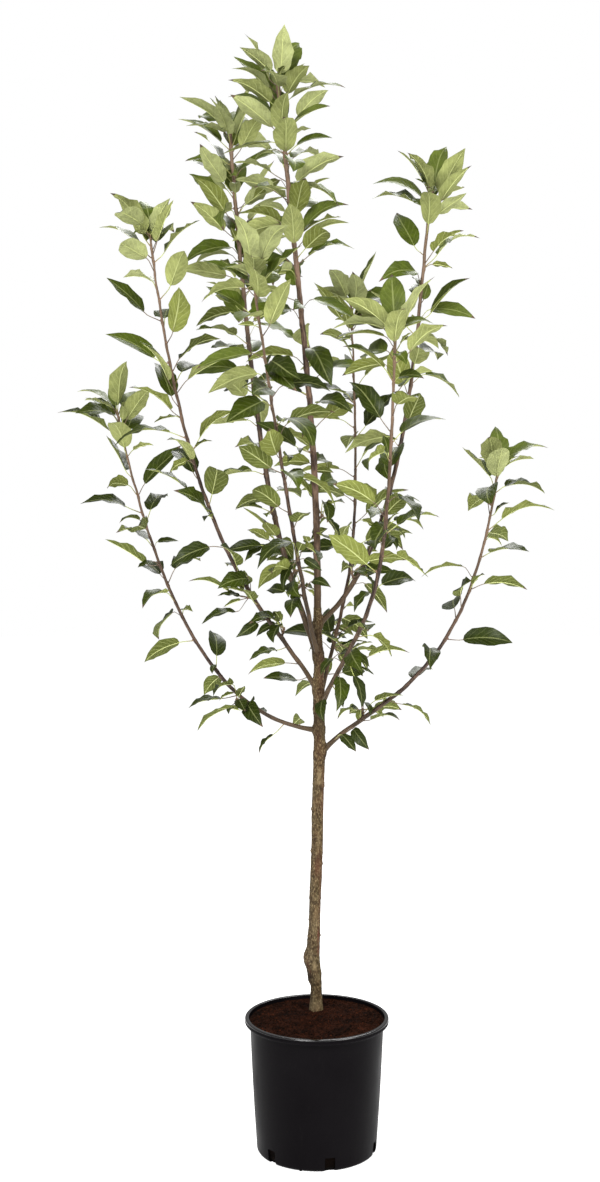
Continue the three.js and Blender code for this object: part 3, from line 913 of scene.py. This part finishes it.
# a spur: short, ringed and thicker at its end, with a blunt bud
def addSpur(bm, twig):
    shoot = frameOf(twig["start"], twig["direction"])
    height, count = spur["ridges"]

    def place(around, along):
        radius = mix(*spur["diameter"], smoothStep(along)) / 2
        radius += height * math.sin(along * count) * smoothStep(along * 2)
        radius *= math.sqrt(max(0, 1 - max(0, (along - 1 + spur["blunt"]) / spur["blunt"]) ** 2))
        center = dict(shoot, point=shoot["point"] + shoot["along"] * (spur["length"] + spur["past"]) * along)
        return turnedPoint(center, around * fullTurn, radius)

    rollUp(bm, spur["sides"], spur["rings"], place)


makeTrunk()
shootMaterial = shootBark("shoot-bark", *bark["young"])
leaderMaterial = shootBark("leader-bark", *bark["youngLeader"])
for name in limbs:
    makeLimb(name, leaderMaterial if name == "leader" else shootMaterial)
print("wood made")


# a repeated small shape, taken from a bmesh: its points, faces, UVs and each face's material
class Template:
    def __init__(self, bm):
        bm.verts.index_update()
        layer = bm.loops.layers.uv.active
        self.points = np.array([vert.co[:] for vert in bm.verts])
        self.faces = [[vert.index for vert in face.verts] for face in bm.faces]
        self.middles = np.array([face.calc_center_median()[:] for face in bm.faces])
        self.slots = np.array([face.material_index for face in bm.faces])
        self.uvs = np.array([loop[layer].uv[:] for face in bm.faces for loop in face.loops])
        bm.free()

    # one mesh of many copies: placed holds every copy's points, and slots each copy's own materials
    def copies(self, name, placed, slots=0):
        count, size = placed.shape[:2]
        faces = [[index + copy * size for index in face] for copy in range(count) for face in self.faces]
        mesh = bpy.data.meshes.new(name)
        mesh.from_pydata((placed.reshape(-1, 3) * millimetre).tolist(), [], faces)
        uvs = mesh.uv_layers.new(name="UVMap")
        uvs.data.foreach_set("uv", np.tile(self.uvs, (count, 1)).astype(np.float32).ravel())
        slots = np.broadcast_to(slots, (count, len(self.faces)))
        mesh.polygons.foreach_set("material_index", slots.ravel().astype(np.int32))
        return mesh


# leaf blades: rows are shares of the length, finer at both ends
bladeMesh = {
    "rows": (0, 0.035, 0.1, 0.2, 0.32, 0.45, 0.58, 0.7, 0.81, 0.91, 1),
    "columns": 4,
    "thickness": 0.55,
    "flatten": 0.35,  # the fold opens out towards the margins by this share
    "wave": 0.12,  # of the half width
    "waves": 2.6,
    "wavePhase": 3,
    "uneven": 0.03,  # of the half width, from row to row
    "twist": 24,
    "tipStart": 0.55,  # where the drawn-out tip begins, as a share of the length
    "tipDrop": 0.1,
    "tipDroop": 0.4,  # of the drop, about which it varies
    "tipSide": 0.08,
    "taper": 0.72,  # its narrowing
    "dryShare": 0.4,  # of the leaves have a dry brown tip
    "dryFrom": 0.9,
}


def bladeTemplate():
    bm = newShape()
    rows = bladeMesh["rows"]
    last = len(rows) - 1
    bmesh.ops.create_grid(bm, x_segments=bladeMesh["columns"], y_segments=last, size=0.5, calc_uvs=True)
    lower = bmesh.ops.duplicate(bm, geom=bm.verts[:] + bm.edges[:] + bm.faces[:])["geom"]
    faces = [item for item in lower if isinstance(item, bmesh.types.BMFace)]
    bmesh.ops.reverse_faces(bm, faces=faces)
    for face in faces:
        face.material_index = 1
    below = {item for item in lower if isinstance(item, bmesh.types.BMVert)}
    for vert in bm.verts:  # each becomes side, share of the length, and lift
        row = round((vert.co.y + 0.5) * last)
        atEnd = row in (0, last)
        onMargin = abs(vert.co.x) > 0.49 or atEnd
        vert.co = (0 if atEnd else vert.co.x * 2, rows[row], 0 if onMargin else (-1 if vert in below else 1))
    bmesh.ops.remove_doubles(bm, verts=bm.verts, dist=0.0001)
    return Template(bm)


# values of all leaves, one row each, ready to be reckoned with a template's points
def columns(leaves, *keys):
    return [np.array([leaf[key] for leaf in leaves])[:, None] for key in keys]


# the middle line of every blade at a share of its length: its bend, and how far it runs along,
# drops and leans aside; end says how near the drawn-out tip is
def bladeSpine(leaves, share):
    length, curl, droop, lean = columns(leaves, "length", "curl", "droop", "lean")
    end = np.clip((share - bladeMesh["tipStart"]) / (1 - bladeMesh["tipStart"]), 0, 1) ** 2
    bend = curl * share
    run = length * np.sin(bend) / curl
    drooping = bladeMesh["tipDroop"] + droop
    drop = length * (1 - np.cos(bend)) / curl + length * bladeMesh["tipDrop"] * end * drooping
    aside = length * bladeMesh["tipSide"] * end * lean
    return bend, run, drop, aside, end


# every blade of a list at once: template points hold side, share of the length, and lift
def placeBlades(template, leaves, random):
    side, share, lift = template.points.T
    length, fold, base = columns(leaves, "length", "fold", "base")
    along, face, across = columns(leaves, "along", "face", "across")
    phase, strength, turn = [random.uniform(-1, 1, (len(leaves), 1)) for _ in range(3)]
    bend, run, drop, aside, end = bladeSpine(leaves, share)
    width = halfWidth(length, np.clip(share, 0, 1 - 1e-9)) * (1 - bladeMesh["taper"] * end)
    rows = np.searchsorted(bladeMesh["rows"], share - 0.001)
    uneven = random.normal(0, bladeMesh["uneven"], (len(leaves), 2, len(bladeMesh["rows"])))
    width = width * (1 + uneven[:, (side > 0).astype(int), rows])
    folded = np.abs(side) * (1 - bladeMesh["flatten"] * np.abs(side))
    ripple = np.sin(bladeMesh["waves"] * math.pi * share * 2 + phase * bladeMesh["wavePhase"] + side)
    wave = bladeMesh["wave"] * (1 + strength) * ripple
    rise = width * (folded * np.sin(fold) + wave * side**2) + lift * bladeMesh["thickness"] / 2
    reach = width * side * np.cos(fold)
    twist = turn * bladeMesh["twist"] * degree * share
    rise, reach = rise * np.cos(twist) + reach * np.sin(twist), reach * np.cos(twist) - rise * np.sin(twist)
    points = along * (run + rise * np.sin(bend))[..., None]
    points = points + face * (rise * np.cos(bend) - drop)[..., None] + across * (reach + aside)[..., None]
    return base + points


# leaf colours from dark to light: upper side, under side
leafTints = [
    (tone(40, 50, 7), tone(93, 101, 46)),
    (tone(52, 63, 11), tone(121, 128, 62)),
    (tone(72, 85, 22), tone(146, 152, 91)),
    (tone(86, 98, 36), tone(162, 168, 111)),
]
veinTone = tone(192, 198, 132)
veinShape = (8.5, 2.1, 0.9)  # how many side veins, how far they slant and how unsteady they are
leafSides = {
    "upper": {"gloss": 0.42, "shine": 0.16, "shade": 0.6, "midrib": 0.42, "veins": 0.1, "depth": -1.6},
    "under": {"gloss": 0.7, "shine": 0.08, "shade": 0.66, "midrib": 0.9, "veins": 0.45, "depth": 1.2},
}


# a blade's finish: veins by its own UV map, V along the midrib and U across
def bladeFinish(name, base, look):
    finish = Finish(name, Roughness=look["gloss"], Specular_IOR_Level=look["shine"])
    span = finish.span
    along = finish.axis("UV", "Y")
    aside = finish.reckon("ABSOLUTE", finish.axis("UV", "X") * 2 - 1)
    midrib = span(aside - along * 0.03, 0.02, 0.075, 1, 0)
    mottle = finish.noise(55, 4.0, 0.6)
    flecks = finish.noise(300, 3.0, 0.6)
    count, slant, unsteady = veinShape
    ribs = finish.reckon("COSINE", (along * count - aside * slant + mottle * unsteady) * 6.2832)
    sideVeins = span(ribs, 0.8, 0.97) * span(aside, 0.75, 1.0, 1, 0)
    veins = finish.reckon("MAXIMUM", midrib * look["midrib"], sideVeins * look["veins"])
    finish.paint(
        base,
        (span(mottle, 0.36, 0.66), tuple(value * look["shade"] for value in base[:3]) + (1.0,)),
        (span(flecks, 0.45, 0.75, 0, 0.5), (base[0] * 1.25, base[1] * 1.22, base[2] * 1.5, 1.0)),
        (veins, tuple(mix(own, pale, 0.6) for own, pale in zip(base, veinTone))),
    )
    finish.set(Roughness=span(mottle, 0.3, 0.7, look["gloss"] - 0.08, look["gloss"] + 0.08))
    finish.bump(veins * look["depth"] + ribs * 0.3, 0.0005, 0.6)
    return finish.material


bladeFinishes = [
    bladeFinish(f"leaf-{side}-{number}", tint, look)
    for number, tints in enumerate(leafTints)
    for tint, (side, look) in zip(tints, leafSides.items())
]
bladeFinishes.append(speckled("leaf-dry-tip", 0.85, 240, 3.0, tone(58, 44, 32), tone(96, 78, 52)))


# the stalk, a thin bent tube from the shoot to the blade, and on as the rib under its midrib
stalk = {
    "sides": 5, "stalkRings": 4, "ribRings": 9,
    "diameter": (2.3, 1.7, 0.6), "ribEnd": 0.9, "darkShare": 0.5,
    "bow": (0.5, 0.3),  # of its length, how far it keeps its direction at the shoot and at the blade
    "thinning": 1.4,
}


def stalkTemplate():
    bm = newShape()
    rings = stalk["stalkRings"] + stalk["ribRings"]

    def place(around, along):
        return Vector((*heading(around * fullTurn)[:2], along * rings))

    rollUp(bm, stalk["sides"], rings, place)
    closeEnds(bm)
    bmesh.ops.recalc_face_normals(bm, faces=bm.faces)
    return Template(bm)


def placeStalks(template, leaves):
    out, over, ring = template.points.T[:, None, :, None]
    base, root, outward = columns(leaves, "base", "root", "outward")
    along, face, across = columns(leaves, "along", "face", "across")
    thick, middle, thin = stalk["diameter"]
    placed = np.zeros((len(leaves), len(template.points), 3))
    for level in range(stalk["stalkRings"] + stalk["ribRings"] + 1):
        if level <= stalk["stalkRings"]:
            share = level / stalk["stalkRings"]
            reach = np.linalg.norm(base - root, axis=-1, keepdims=True)
            leaving, joining = stalk["bow"]
            first = root + outward * reach * leaving
            second = base - along * reach * joining
            weights = ((1 - share) ** 3, 3 * (1 - share) ** 2 * share, 3 * (1 - share) * share**2, share**3)
            center = sum(w * p for w, p in zip(weights, (root, first, second, base)))
            radius = mix(thick, middle, smoothStep(share * stalk["thinning"])) / 2
            normal = face
        else:
            share = (level - stalk["stalkRings"]) / stalk["ribRings"] * stalk["ribEnd"]
            bend, run, drop, aside = [value[..., None] for value in bladeSpine(leaves, share)[:4]]
            normal = face * np.cos(bend) + along * np.sin(bend)
            radius = mix(middle, thin, share) / 2
            center = base + along * run - face * drop + across * aside - normal * radius
        chosen = np.isclose(ring[0, :, 0], level)
        placed[:, chosen] = center + normal * out[:, chosen] * radius + across * over[:, chosen] * radius
    return placed


def stalkFinish(name, foot, middle):
    finish = Finish(name, Roughness=0.5, Specular_IOR_Level=0.3)
    along = finish.axis("UV", "Y")
    speckle = finish.noise(600, 2.0)
    finish.paint(
        foot,
        (finish.span(along, 0.02, 0.2), middle),
        (finish.span(along, 0.3, 0.46), veinTone),
        (finish.span(speckle, 0.4, 0.7, 0, 0.25), veinTone),
    )
    finish.bump(speckle, 0.0002, 0.5)
    return finish.material


# buds sit in the angle between each stalk and its shoot
budShape = {
    "sides": 6, "rings": 5, "length": 5.5, "diameter": 3.2, "lean": 0.55, "point": 0.35, "out": 2,
    "bladeLength": 90,  # of the leaf that has a bud of this size
}


def budTemplate():
    bm = newShape()
    sides, rings = budShape["sides"], budShape["rings"]
    bmesh.ops.create_uvsphere(bm, u_segments=sides, v_segments=rings, radius=1, calc_uvs=True)
    for vert in bm.verts:
        if vert.co.z > 0:
            vert.co.xy *= 1 - budShape["point"] * vert.co.z
    return Template(bm)


def placeBuds(template, leaves):
    root, shoot, outward, bark, length = columns(leaves, "root", "shoot", "outward", "bark", "length")
    axis = units(shoot + outward * budShape["lean"])
    across = units(np.cross(axis, outward))
    x, y, z = template.points.T[:, None, :, None]
    spread = across * x + np.cross(axis, across) * y
    offset = spread * budShape["diameter"] / 2 + axis * z * budShape["length"] / 2
    center = root + outward * bark[..., None] + axis * budShape["out"]
    return center + offset * (length / budShape["bladeLength"])[..., None]


# a leaf has one tint: darker low on the tree, lighter towards the top and the tips
tinting = {"height": (900, 2000), "byHeight": 0.8, "byTip": 0.4, "spread": 0.3}


def tintOf(leaf, random):
    low, high = tinting["height"]
    share = tinting["byHeight"] * clamp((leaf["base"][2] - low) / (high - low))
    share += tinting["byTip"] * leaf["tipward"]
    share += random.uniform(-tinting["spread"], tinting["spread"])
    return int(min(len(leafTints) - 1, max(0, share * len(leafTints))))


bladeShape = bladeTemplate()
stalkShape = stalkTemplate()
budForm = budTemplate()
atTip = bladeShape.middles[:, 1] > bladeMesh["dryFrom"]
stalkMaterials = [
    stalkFinish("leaf-stalk", tone(120, 84, 66), tone(164, 172, 98)),
    stalkFinish("leaf-stalk-dark", tone(74, 48, 50), tone(96, 72, 62)),
]
budMaterials = [speckled("bud-scales", 0.6, 700, 3.0, tone(92, 62, 52), tone(140, 112, 92), 0.0003)]
for number, name in enumerate(limbs):
    random = np.random.default_rng(number + 11)
    leaves, first = grown[name]["all"], grown[name]["first"]
    for leaf in leaves:
        leaf["droop"], leaf["lean"] = random.uniform(-1, 1, 2)
    tints = np.array([tintOf(leaf, random) for leaf in leaves])
    dry = (random.uniform(0, 1, len(leaves)) < bladeMesh["dryShare"])[:, None] & atTip[None]
    slots = np.where(dry, len(bladeFinishes) - 1, bladeShape.slots[None] + 2 * tints[:, None])
    blades = placeBlades(bladeShape, leaves, random)
    dark = (random.uniform(0, 1, (len(leaves), 1)) < stalk["darkShare"]).astype(int)
    for kind, shape, placed, slots, materials, slot, sharp in (
        ("leaves", bladeShape, blades, slots, bladeFinishes, "foliage", 100),
        ("stalks", stalkShape, placeStalks(stalkShape, leaves), dark, stalkMaterials, "foliage", 60),
        ("buds", budForm, placeBuds(budForm, first), 0, budMaterials, "bough", 60),
    ):
        addPiece(shape.copies(f"{name}-{kind}", placed, slots), materials, slot, [f"{name}-foliage"], sharp)
print("leaves made")


pot = {
    "height": 265,
    "baseRadius": 116.5,
    "wallTopRadius": 130,
    "belly": 1.0,  # the wall bows out by this much halfway up
    "wall": 2.2,
    "floor": 3,
    "cornerRadius": 8,
    "rimRadius": 140,
    "rimHeight": 11,
    "rimRound": 2.5,
    "rimBead": 2.6,  # the polished top of the rim
    "rimInnerRadius": 132,
    "steps": 128,
    "sharp": 38,
    "slots": 6,
    "slotSize": (20, 28),
    "slotDepth": 14,
    "slotRound": 2,
    "firstSlot": 12,  # bearing from the front
    "foot": (-16, 114, 3),  # bearing from the front, distance out and radius of the moulding pip
}


def wallRadius(height):
    share = height / (pot["height"] - pot["rimHeight"])
    bow = pot["belly"] * math.sin(math.pi * clamp(share))
    return mix(pot["baseRadius"], pot["wallTopRadius"], share) + bow


def arc(center, radius, start, end, count):
    angles = [mix(start, end, index / count) * degree for index in range(count + 1)]
    return [(center[0] + radius * math.cos(a), center[1] + radius * math.sin(a)) for a in angles]


# the pot's section: out along the underside, up the wall, round the rim and down inside
def potSection():
    top, foot = pot["height"], pot["height"] - pot["rimHeight"]
    corner = pot["cornerRadius"]
    outer, inner, bend = pot["rimRadius"], pot["rimInnerRadius"], pot["rimRound"]
    cornerX = wallRadius(corner) - corner
    return [
        *((0, 0), (60, 0), (100, 0)),
        *arc((cornerX, corner), corner, -90, -3, 8),
        *((wallRadius(height), height) for height in np.linspace(18, foot - 8, 14)),
        *arc((wallRadius(foot - 1) + 2.0, foot - 2.2), 2.0, 180, 100, 4),
        *arc((outer - bend, foot + bend), bend, -90, 0, 4),
        *((outer, foot + 4.4), (outer - 0.7, foot + 5.2), (outer - 0.7, foot + 6.2), (outer, foot + 7)),
        *arc((outer - bend, top - bend), bend, 0, 90, 5),
        *arc((inner + 1.2, top - 1.2), 1.2, 90, 180, 3),
        *((inner, foot), (pot["wallTopRadius"] - pot["wall"], foot - 11)),
        *((wallRadius(corner) - pot["wall"], corner), (cornerX, pot["floor"]), (0, pot["floor"])),
    ]


def spun(section, steps):
    bm = bmesh.new()
    verts = [bm.verts.new((x, 0, z)) for x, z in section]
    edges = [bm.edges.new(pair) for pair in zip(verts, verts[1:])]
    turn = {"cent": (0, 0, 0), "axis": (0, 0, 1), "dvec": (0, 0, 0), "angle": fullTurn}
    bmesh.ops.spin(bm, geom=verts + edges, steps=steps, use_merge=True, **turn)
    bmesh.ops.remove_doubles(bm, verts=bm.verts, dist=0.001)
    return bm


def slotCutter():
    bm = bmesh.new()
    width, height = pot["slotSize"]
    for index in range(pot["slots"]):
        bearing = -90 + pot["firstSlot"] + index * 360 / pot["slots"]
        made = bmesh.ops.create_cube(bm, size=1)["verts"]
        bmesh.ops.scale(bm, vec=(pot["slotDepth"], width, height * 2), verts=made)
        ends = [(edge, edge.verts[0].co - edge.verts[1].co) for edge in bm.edges if edge.verts[0] in made]
        across = [edge for edge, run in ends if abs(run.y) < 0.1 and abs(run.z) < 0.1]
        rounding = {"affect": "EDGES", "segments": 3, "profile": 0.5, "material": -1}
        rounded = bmesh.ops.bevel(bm, geom=across, offset=pot["slotRound"], **rounding)["verts"]
        made = list({*[v for v in made if v.is_valid], *rounded})
        out = Matrix.Translation((wallRadius(0) - pot["wall"], 0, 0))
        bmesh.ops.transform(bm, matrix=Matrix.Rotation(bearing * degree, 4, "Z") @ out, verts=made)
    return meshOf("slot-cutter", bm)


def potPlastic(name, shine, low, high, relief):
    finish = Finish(name, Specular_IOR_Level=shine)
    clouds = finish.noise(9, 4.0)
    scuffs = finish.noise(90, 5.0, 0.65, along=0.2)
    grain = finish.noise(900, 2.0)
    finish.paint(
        tone(8, 6, 8),
        (finish.span(clouds, 0.35, 0.7), tone(12, 10, 12)),
        (finish.span(scuffs, 0.62, 0.85, 0, 0.3), tone(28, 27, 26)),
    )
    finish.set(Roughness=finish.span(clouds + scuffs * 0.5, 0.5, 0.95, low, high))
    finish.bump(grain * 0.4 + scuffs * 0.3, relief, 0.6)
    return finish.material


def makePot():
    bm = spun(potSection(), pot["steps"])
    for face in bm.faces:
        face.material_index = int(face.calc_center_median().z > pot["height"] - pot["rimBead"])
    wall = potPlastic("pot-plastic", 0.03, 0.36, 0.5, 0.00025)
    rim = potPlastic("pot-rim-plastic", 0.7, 0.13, 0.17, 0.00001)
    piece = addPiece(meshOf("pot-shell", bm), [wall, rim], "pot", ["pot"], pot["sharp"])
    cutter = addObject("slot-cutter", slotCutter())
    cut = piece.modifiers.new("slots", "BOOLEAN")
    cut.object = cutter
    cut.solver = "EXACT"
    made = bpy.data.meshes.new_from_object(piece.evaluated_get(bpy.context.evaluated_depsgraph_get()))
    piece.modifiers.clear()
    piece.data = made
    made.name = "pot-shell"
    shadeSmooth(made, pot["sharp"])
    bpy.data.objects.remove(cutter)
    bearing, out, radius = pot["foot"]
    bm = bmesh.new()
    bmesh.ops.create_uvsphere(bm, u_segments=20, v_segments=12, radius=radius)
    spot = (*heading((bearing - 90) * degree)[:2] * out, radius)
    bmesh.ops.translate(bm, vec=spot, verts=bm.verts)
    addPiece(meshOf("pot-pip", bm), [wall], "pot")


makePot()
print("pot made")


soil = {
    "edgeHeight": 258,
    "moundHeight": 262.7,
    "moundRadius": 74,
    "moundFoot": 112,
    "clearance": 0.5,
    "sectors": 200,
    "rings": 96,
    "sunk": 0.6,
    # width, height and place of the layers of lumps, from clods to grains
    "lumps": [(11, 1.5, 0, 0), (4.5, 0.8, 5, 0), (1.9, 0.4, 0, 9)],
    "crumbs": 5200,
    "crumbSize": (0.7, 2.3),
    "crumbFiner": 2.2,  # small ones are commoner
    "crumbStretch": (0.55, 1.25),
    "crumbTilt": 0.6,  # in radians
    "crumbUneven": (0.8, 1.2),
    "crumbRise": 0.2,  # of its size, above the surface
    "crumbShares": (0.62, 0.33, 0.05),  # dark, warm, pale
    "chips": 90,  # longer bits of bark and fibre
    "chipStretch": (2.6, 0.7, 0.5),
    "fromWall": 4,
    "fromTrunk": 13,
}


def soilHeight(radius):
    share = smoothStep((soil["moundFoot"] - radius) / (soil["moundFoot"] - soil["moundRadius"]))
    return mix(soil["edgeHeight"], soil["moundHeight"], share)


def soilSurface(x, y):
    height = soilHeight(math.hypot(x, y)) - soil["sunk"]
    for width, size, a, b in soil["lumps"]:
        height += size * noise.noise(Vector((x, y, 0)) / width + Vector((a, b, 0)))
    return height


def makeSoil():
    rimFoot = pot["height"] - pot["rimHeight"]
    edge = pot["rimInnerRadius"] - soil["clearance"]
    corner = pot["cornerRadius"]
    skirt = [
        (edge, rimFoot + 1),
        (pot["wallTopRadius"] - pot["wall"] - soil["clearance"], rimFoot - 12),
        (wallRadius(corner) - pot["wall"] - soil["clearance"] - 1, corner + 1),
        (wallRadius(corner) - corner - 1, pot["floor"] + soil["clearance"]),
    ]
    surfaceRings = soil["rings"] - len(skirt)
    bm = newShape()

    def place(around, along):
        ring = round(along * soil["rings"])
        angle = around * fullTurn
        onTop = ring <= surfaceRings
        radius, height = (edge * ring / surfaceRings, 0) if onTop else skirt[ring - surfaceRings - 1]
        x, y = radius * math.cos(angle), radius * math.sin(angle)
        return Vector((x, y, soilSurface(x, y) if onTop else height))

    rollUp(bm, soil["sectors"], soil["rings"], place)
    closeEnds(bm)
    for face in bm.faces:
        face.material_index = int(face.calc_center_median().z < rimFoot)
    materials = [soilFinish("compost", 1.0), soilFinish("compost-in-shade", 0.25)]
    addPiece(meshOf("soil-bed", bm), materials, "soil", ["soil"], sharp=180)


def soilFinish(name, light):
    finish = Finish(name, Roughness=0.95, Specular_IOR_Level=0.03)
    lumps = finish.noise(160, 4.0, 0.6)
    grains = finish.noise(700, 3.0, 0.6)
    patches = finish.noise(30, 3.0)
    dark, warm, pale = [tone(*[v * light for v in seen]) for seen in ((17, 9, 6), (48, 24, 14), (60, 35, 23))]
    finish.paint(
        dark,
        (finish.span(lumps + patches, 0.8, 1.24), warm),
        (finish.span(grains, 0.6, 0.8, 0, 0.3), pale),
    )
    finish.bump(grains + lumps * 0.5, 0.0006, 0.8)
    return finish.material


# crumbs: twenty-faced balls, squashed and turned each its own way, half sunk in the surface
def makeCrumbs():
    random = np.random.default_rng(5)
    count = soil["crumbs"]
    radius = (pot["rimInnerRadius"] - soil["fromWall"]) * np.sqrt(random.uniform(0, 1, count))
    bearing = random.uniform(0, fullTurn, count)
    x, y = radius * np.cos(bearing), radius * np.sin(bearing)
    x0, y0, _ = trunkPoint(trunk["cutHeight"])
    keep = np.hypot(x - x0, y - y0) > soil["fromTrunk"]
    x, y = x[keep], y[keep]
    count = len(x)
    z = np.array([soilSurface(a, b) for a, b in zip(x, y)])
    bm = newShape()
    bmesh.ops.create_icosphere(bm, subdivisions=1, radius=1, calc_uvs=True)
    ball = Template(bm)
    size = mix(*soil["crumbSize"], random.uniform(0, 1, count) ** soil["crumbFiner"])
    stretch = random.uniform(*soil["crumbStretch"], (count, 3))
    stretch[: soil["chips"]] *= soil["chipStretch"]
    turns = []
    for _ in range(count):
        turn = Matrix.Rotation(random.uniform(0, fullTurn), 3, "Z")
        tilt = Matrix.Rotation(random.uniform(-soil["crumbTilt"], soil["crumbTilt"]), 3, "X")
        turns.append(np.array(turn @ tilt))
    uneven = random.uniform(*soil["crumbUneven"], (count, len(ball.points), 1))
    shape = ball.points[None] * stretch[:, None] * uneven
    placed = np.einsum("nij,nvj->nvi", np.array(turns), shape) * size[:, None, None]
    placed += np.stack([x, y, z + size * soil["crumbRise"]], axis=1)[:, None]
    slots = random.choice([0, 1, 2], size=(count, 1), p=soil["crumbShares"])
    lights = {"dark": 0.8, "warm": 1.15, "pale": 1.6}
    materials = [soilFinish(f"crumb-{kind}", light) for kind, light in lights.items()]
    addPiece(ball.copies("soil-crumbs", placed, slots), materials, "soil", sharp=180)


makeSoil()
makeCrumbs()
print("compost made")


# the stage: floor, light and camera, in metres
stage = {
    "camera": (-0.0327, -3.330, 1.380),
    "tilt": 85.115,
    "lens": 53.4,
    "sensor": 36,
    "floor": 9,
    "floorGlow": 0.66,
    "backdrop": 1.0,  # brightness of the white behind the tree
    "sky": 0.36,  # strength of the even light that falls on it
    "lamps": [  # place, aim, size, watts
        ((-1.4, -3.2, 3.2), (0, 0, 1.2), 2.0, 180),
        ((2.6, -2.2, 2.6), (0, 0, 1.2), 2.2, 110),
        ((0.4, 2.8, 3.4), (0, 0, 1.3), 2.0, 80),
    ],
}


def makeFloor():
    bm = bmesh.new()
    bmesh.ops.create_grid(bm, x_segments=2, y_segments=2, size=stage["floor"])
    floor = addObject("floor", toMesh("floor", bm))
    finish = Finish("floor", Roughness=0.9, Specular_IOR_Level=0.1)
    finish.set(Emission_Color=(1, 1, 1, 1), Emission_Strength=stage["floorGlow"])
    finish.paint(tone(250, 250, 250), (finish.noise(3, 2.0), tone(246, 246, 246)))
    floor.data.materials.append(finish.material)


# the camera sees the backdrop's white, and everything else is lit by the weaker sky
def makeWorld():
    world = bpy.data.worlds.new("studio")
    world.use_nodes = True
    studio = Nodes(world.node_tree)
    seen = studio.node("LightPath", output="Is Camera Ray")
    inputs = {"Value": seen, "To Min": stage["sky"], "To Max": stage["backdrop"]}
    background = world.node_tree.nodes["Background"].inputs
    studio.feed(background["Strength"], studio.node("MapRange", inputs=inputs))
    studio.feed(background["Color"], (1, 1, 1, 1))
    bpy.context.scene.world = world


def makeLamps():
    for number, (place, aim, size, watts) in enumerate(stage["lamps"]):
        light = bpy.data.lights.new(f"lamp-{number}", "AREA")
        light.shape = "DISK"
        light.size = size
        light.energy = watts
        lamp = addObject(light.name, light)
        lamp.location = place
        lamp.rotation_euler = (Vector(aim) - Vector(place)).to_track_quat("-Z", "Y").to_euler()


def makeCamera():
    lens = bpy.data.cameras.new("camera")
    lens.sensor_fit = "AUTO"
    lens.sensor_width = stage["sensor"]
    lens.lens = stage["lens"]
    camera = addObject("camera", lens)
    camera.location = stage["camera"]
    camera.rotation_euler = (stage["tilt"] * degree, 0, 0)
    bpy.context.scene.camera = camera
    bpy.context.scene.view_settings.view_transform = "Standard"


makeFloor()
makeWorld()
makeLamps()
makeCamera()
print("stage made")
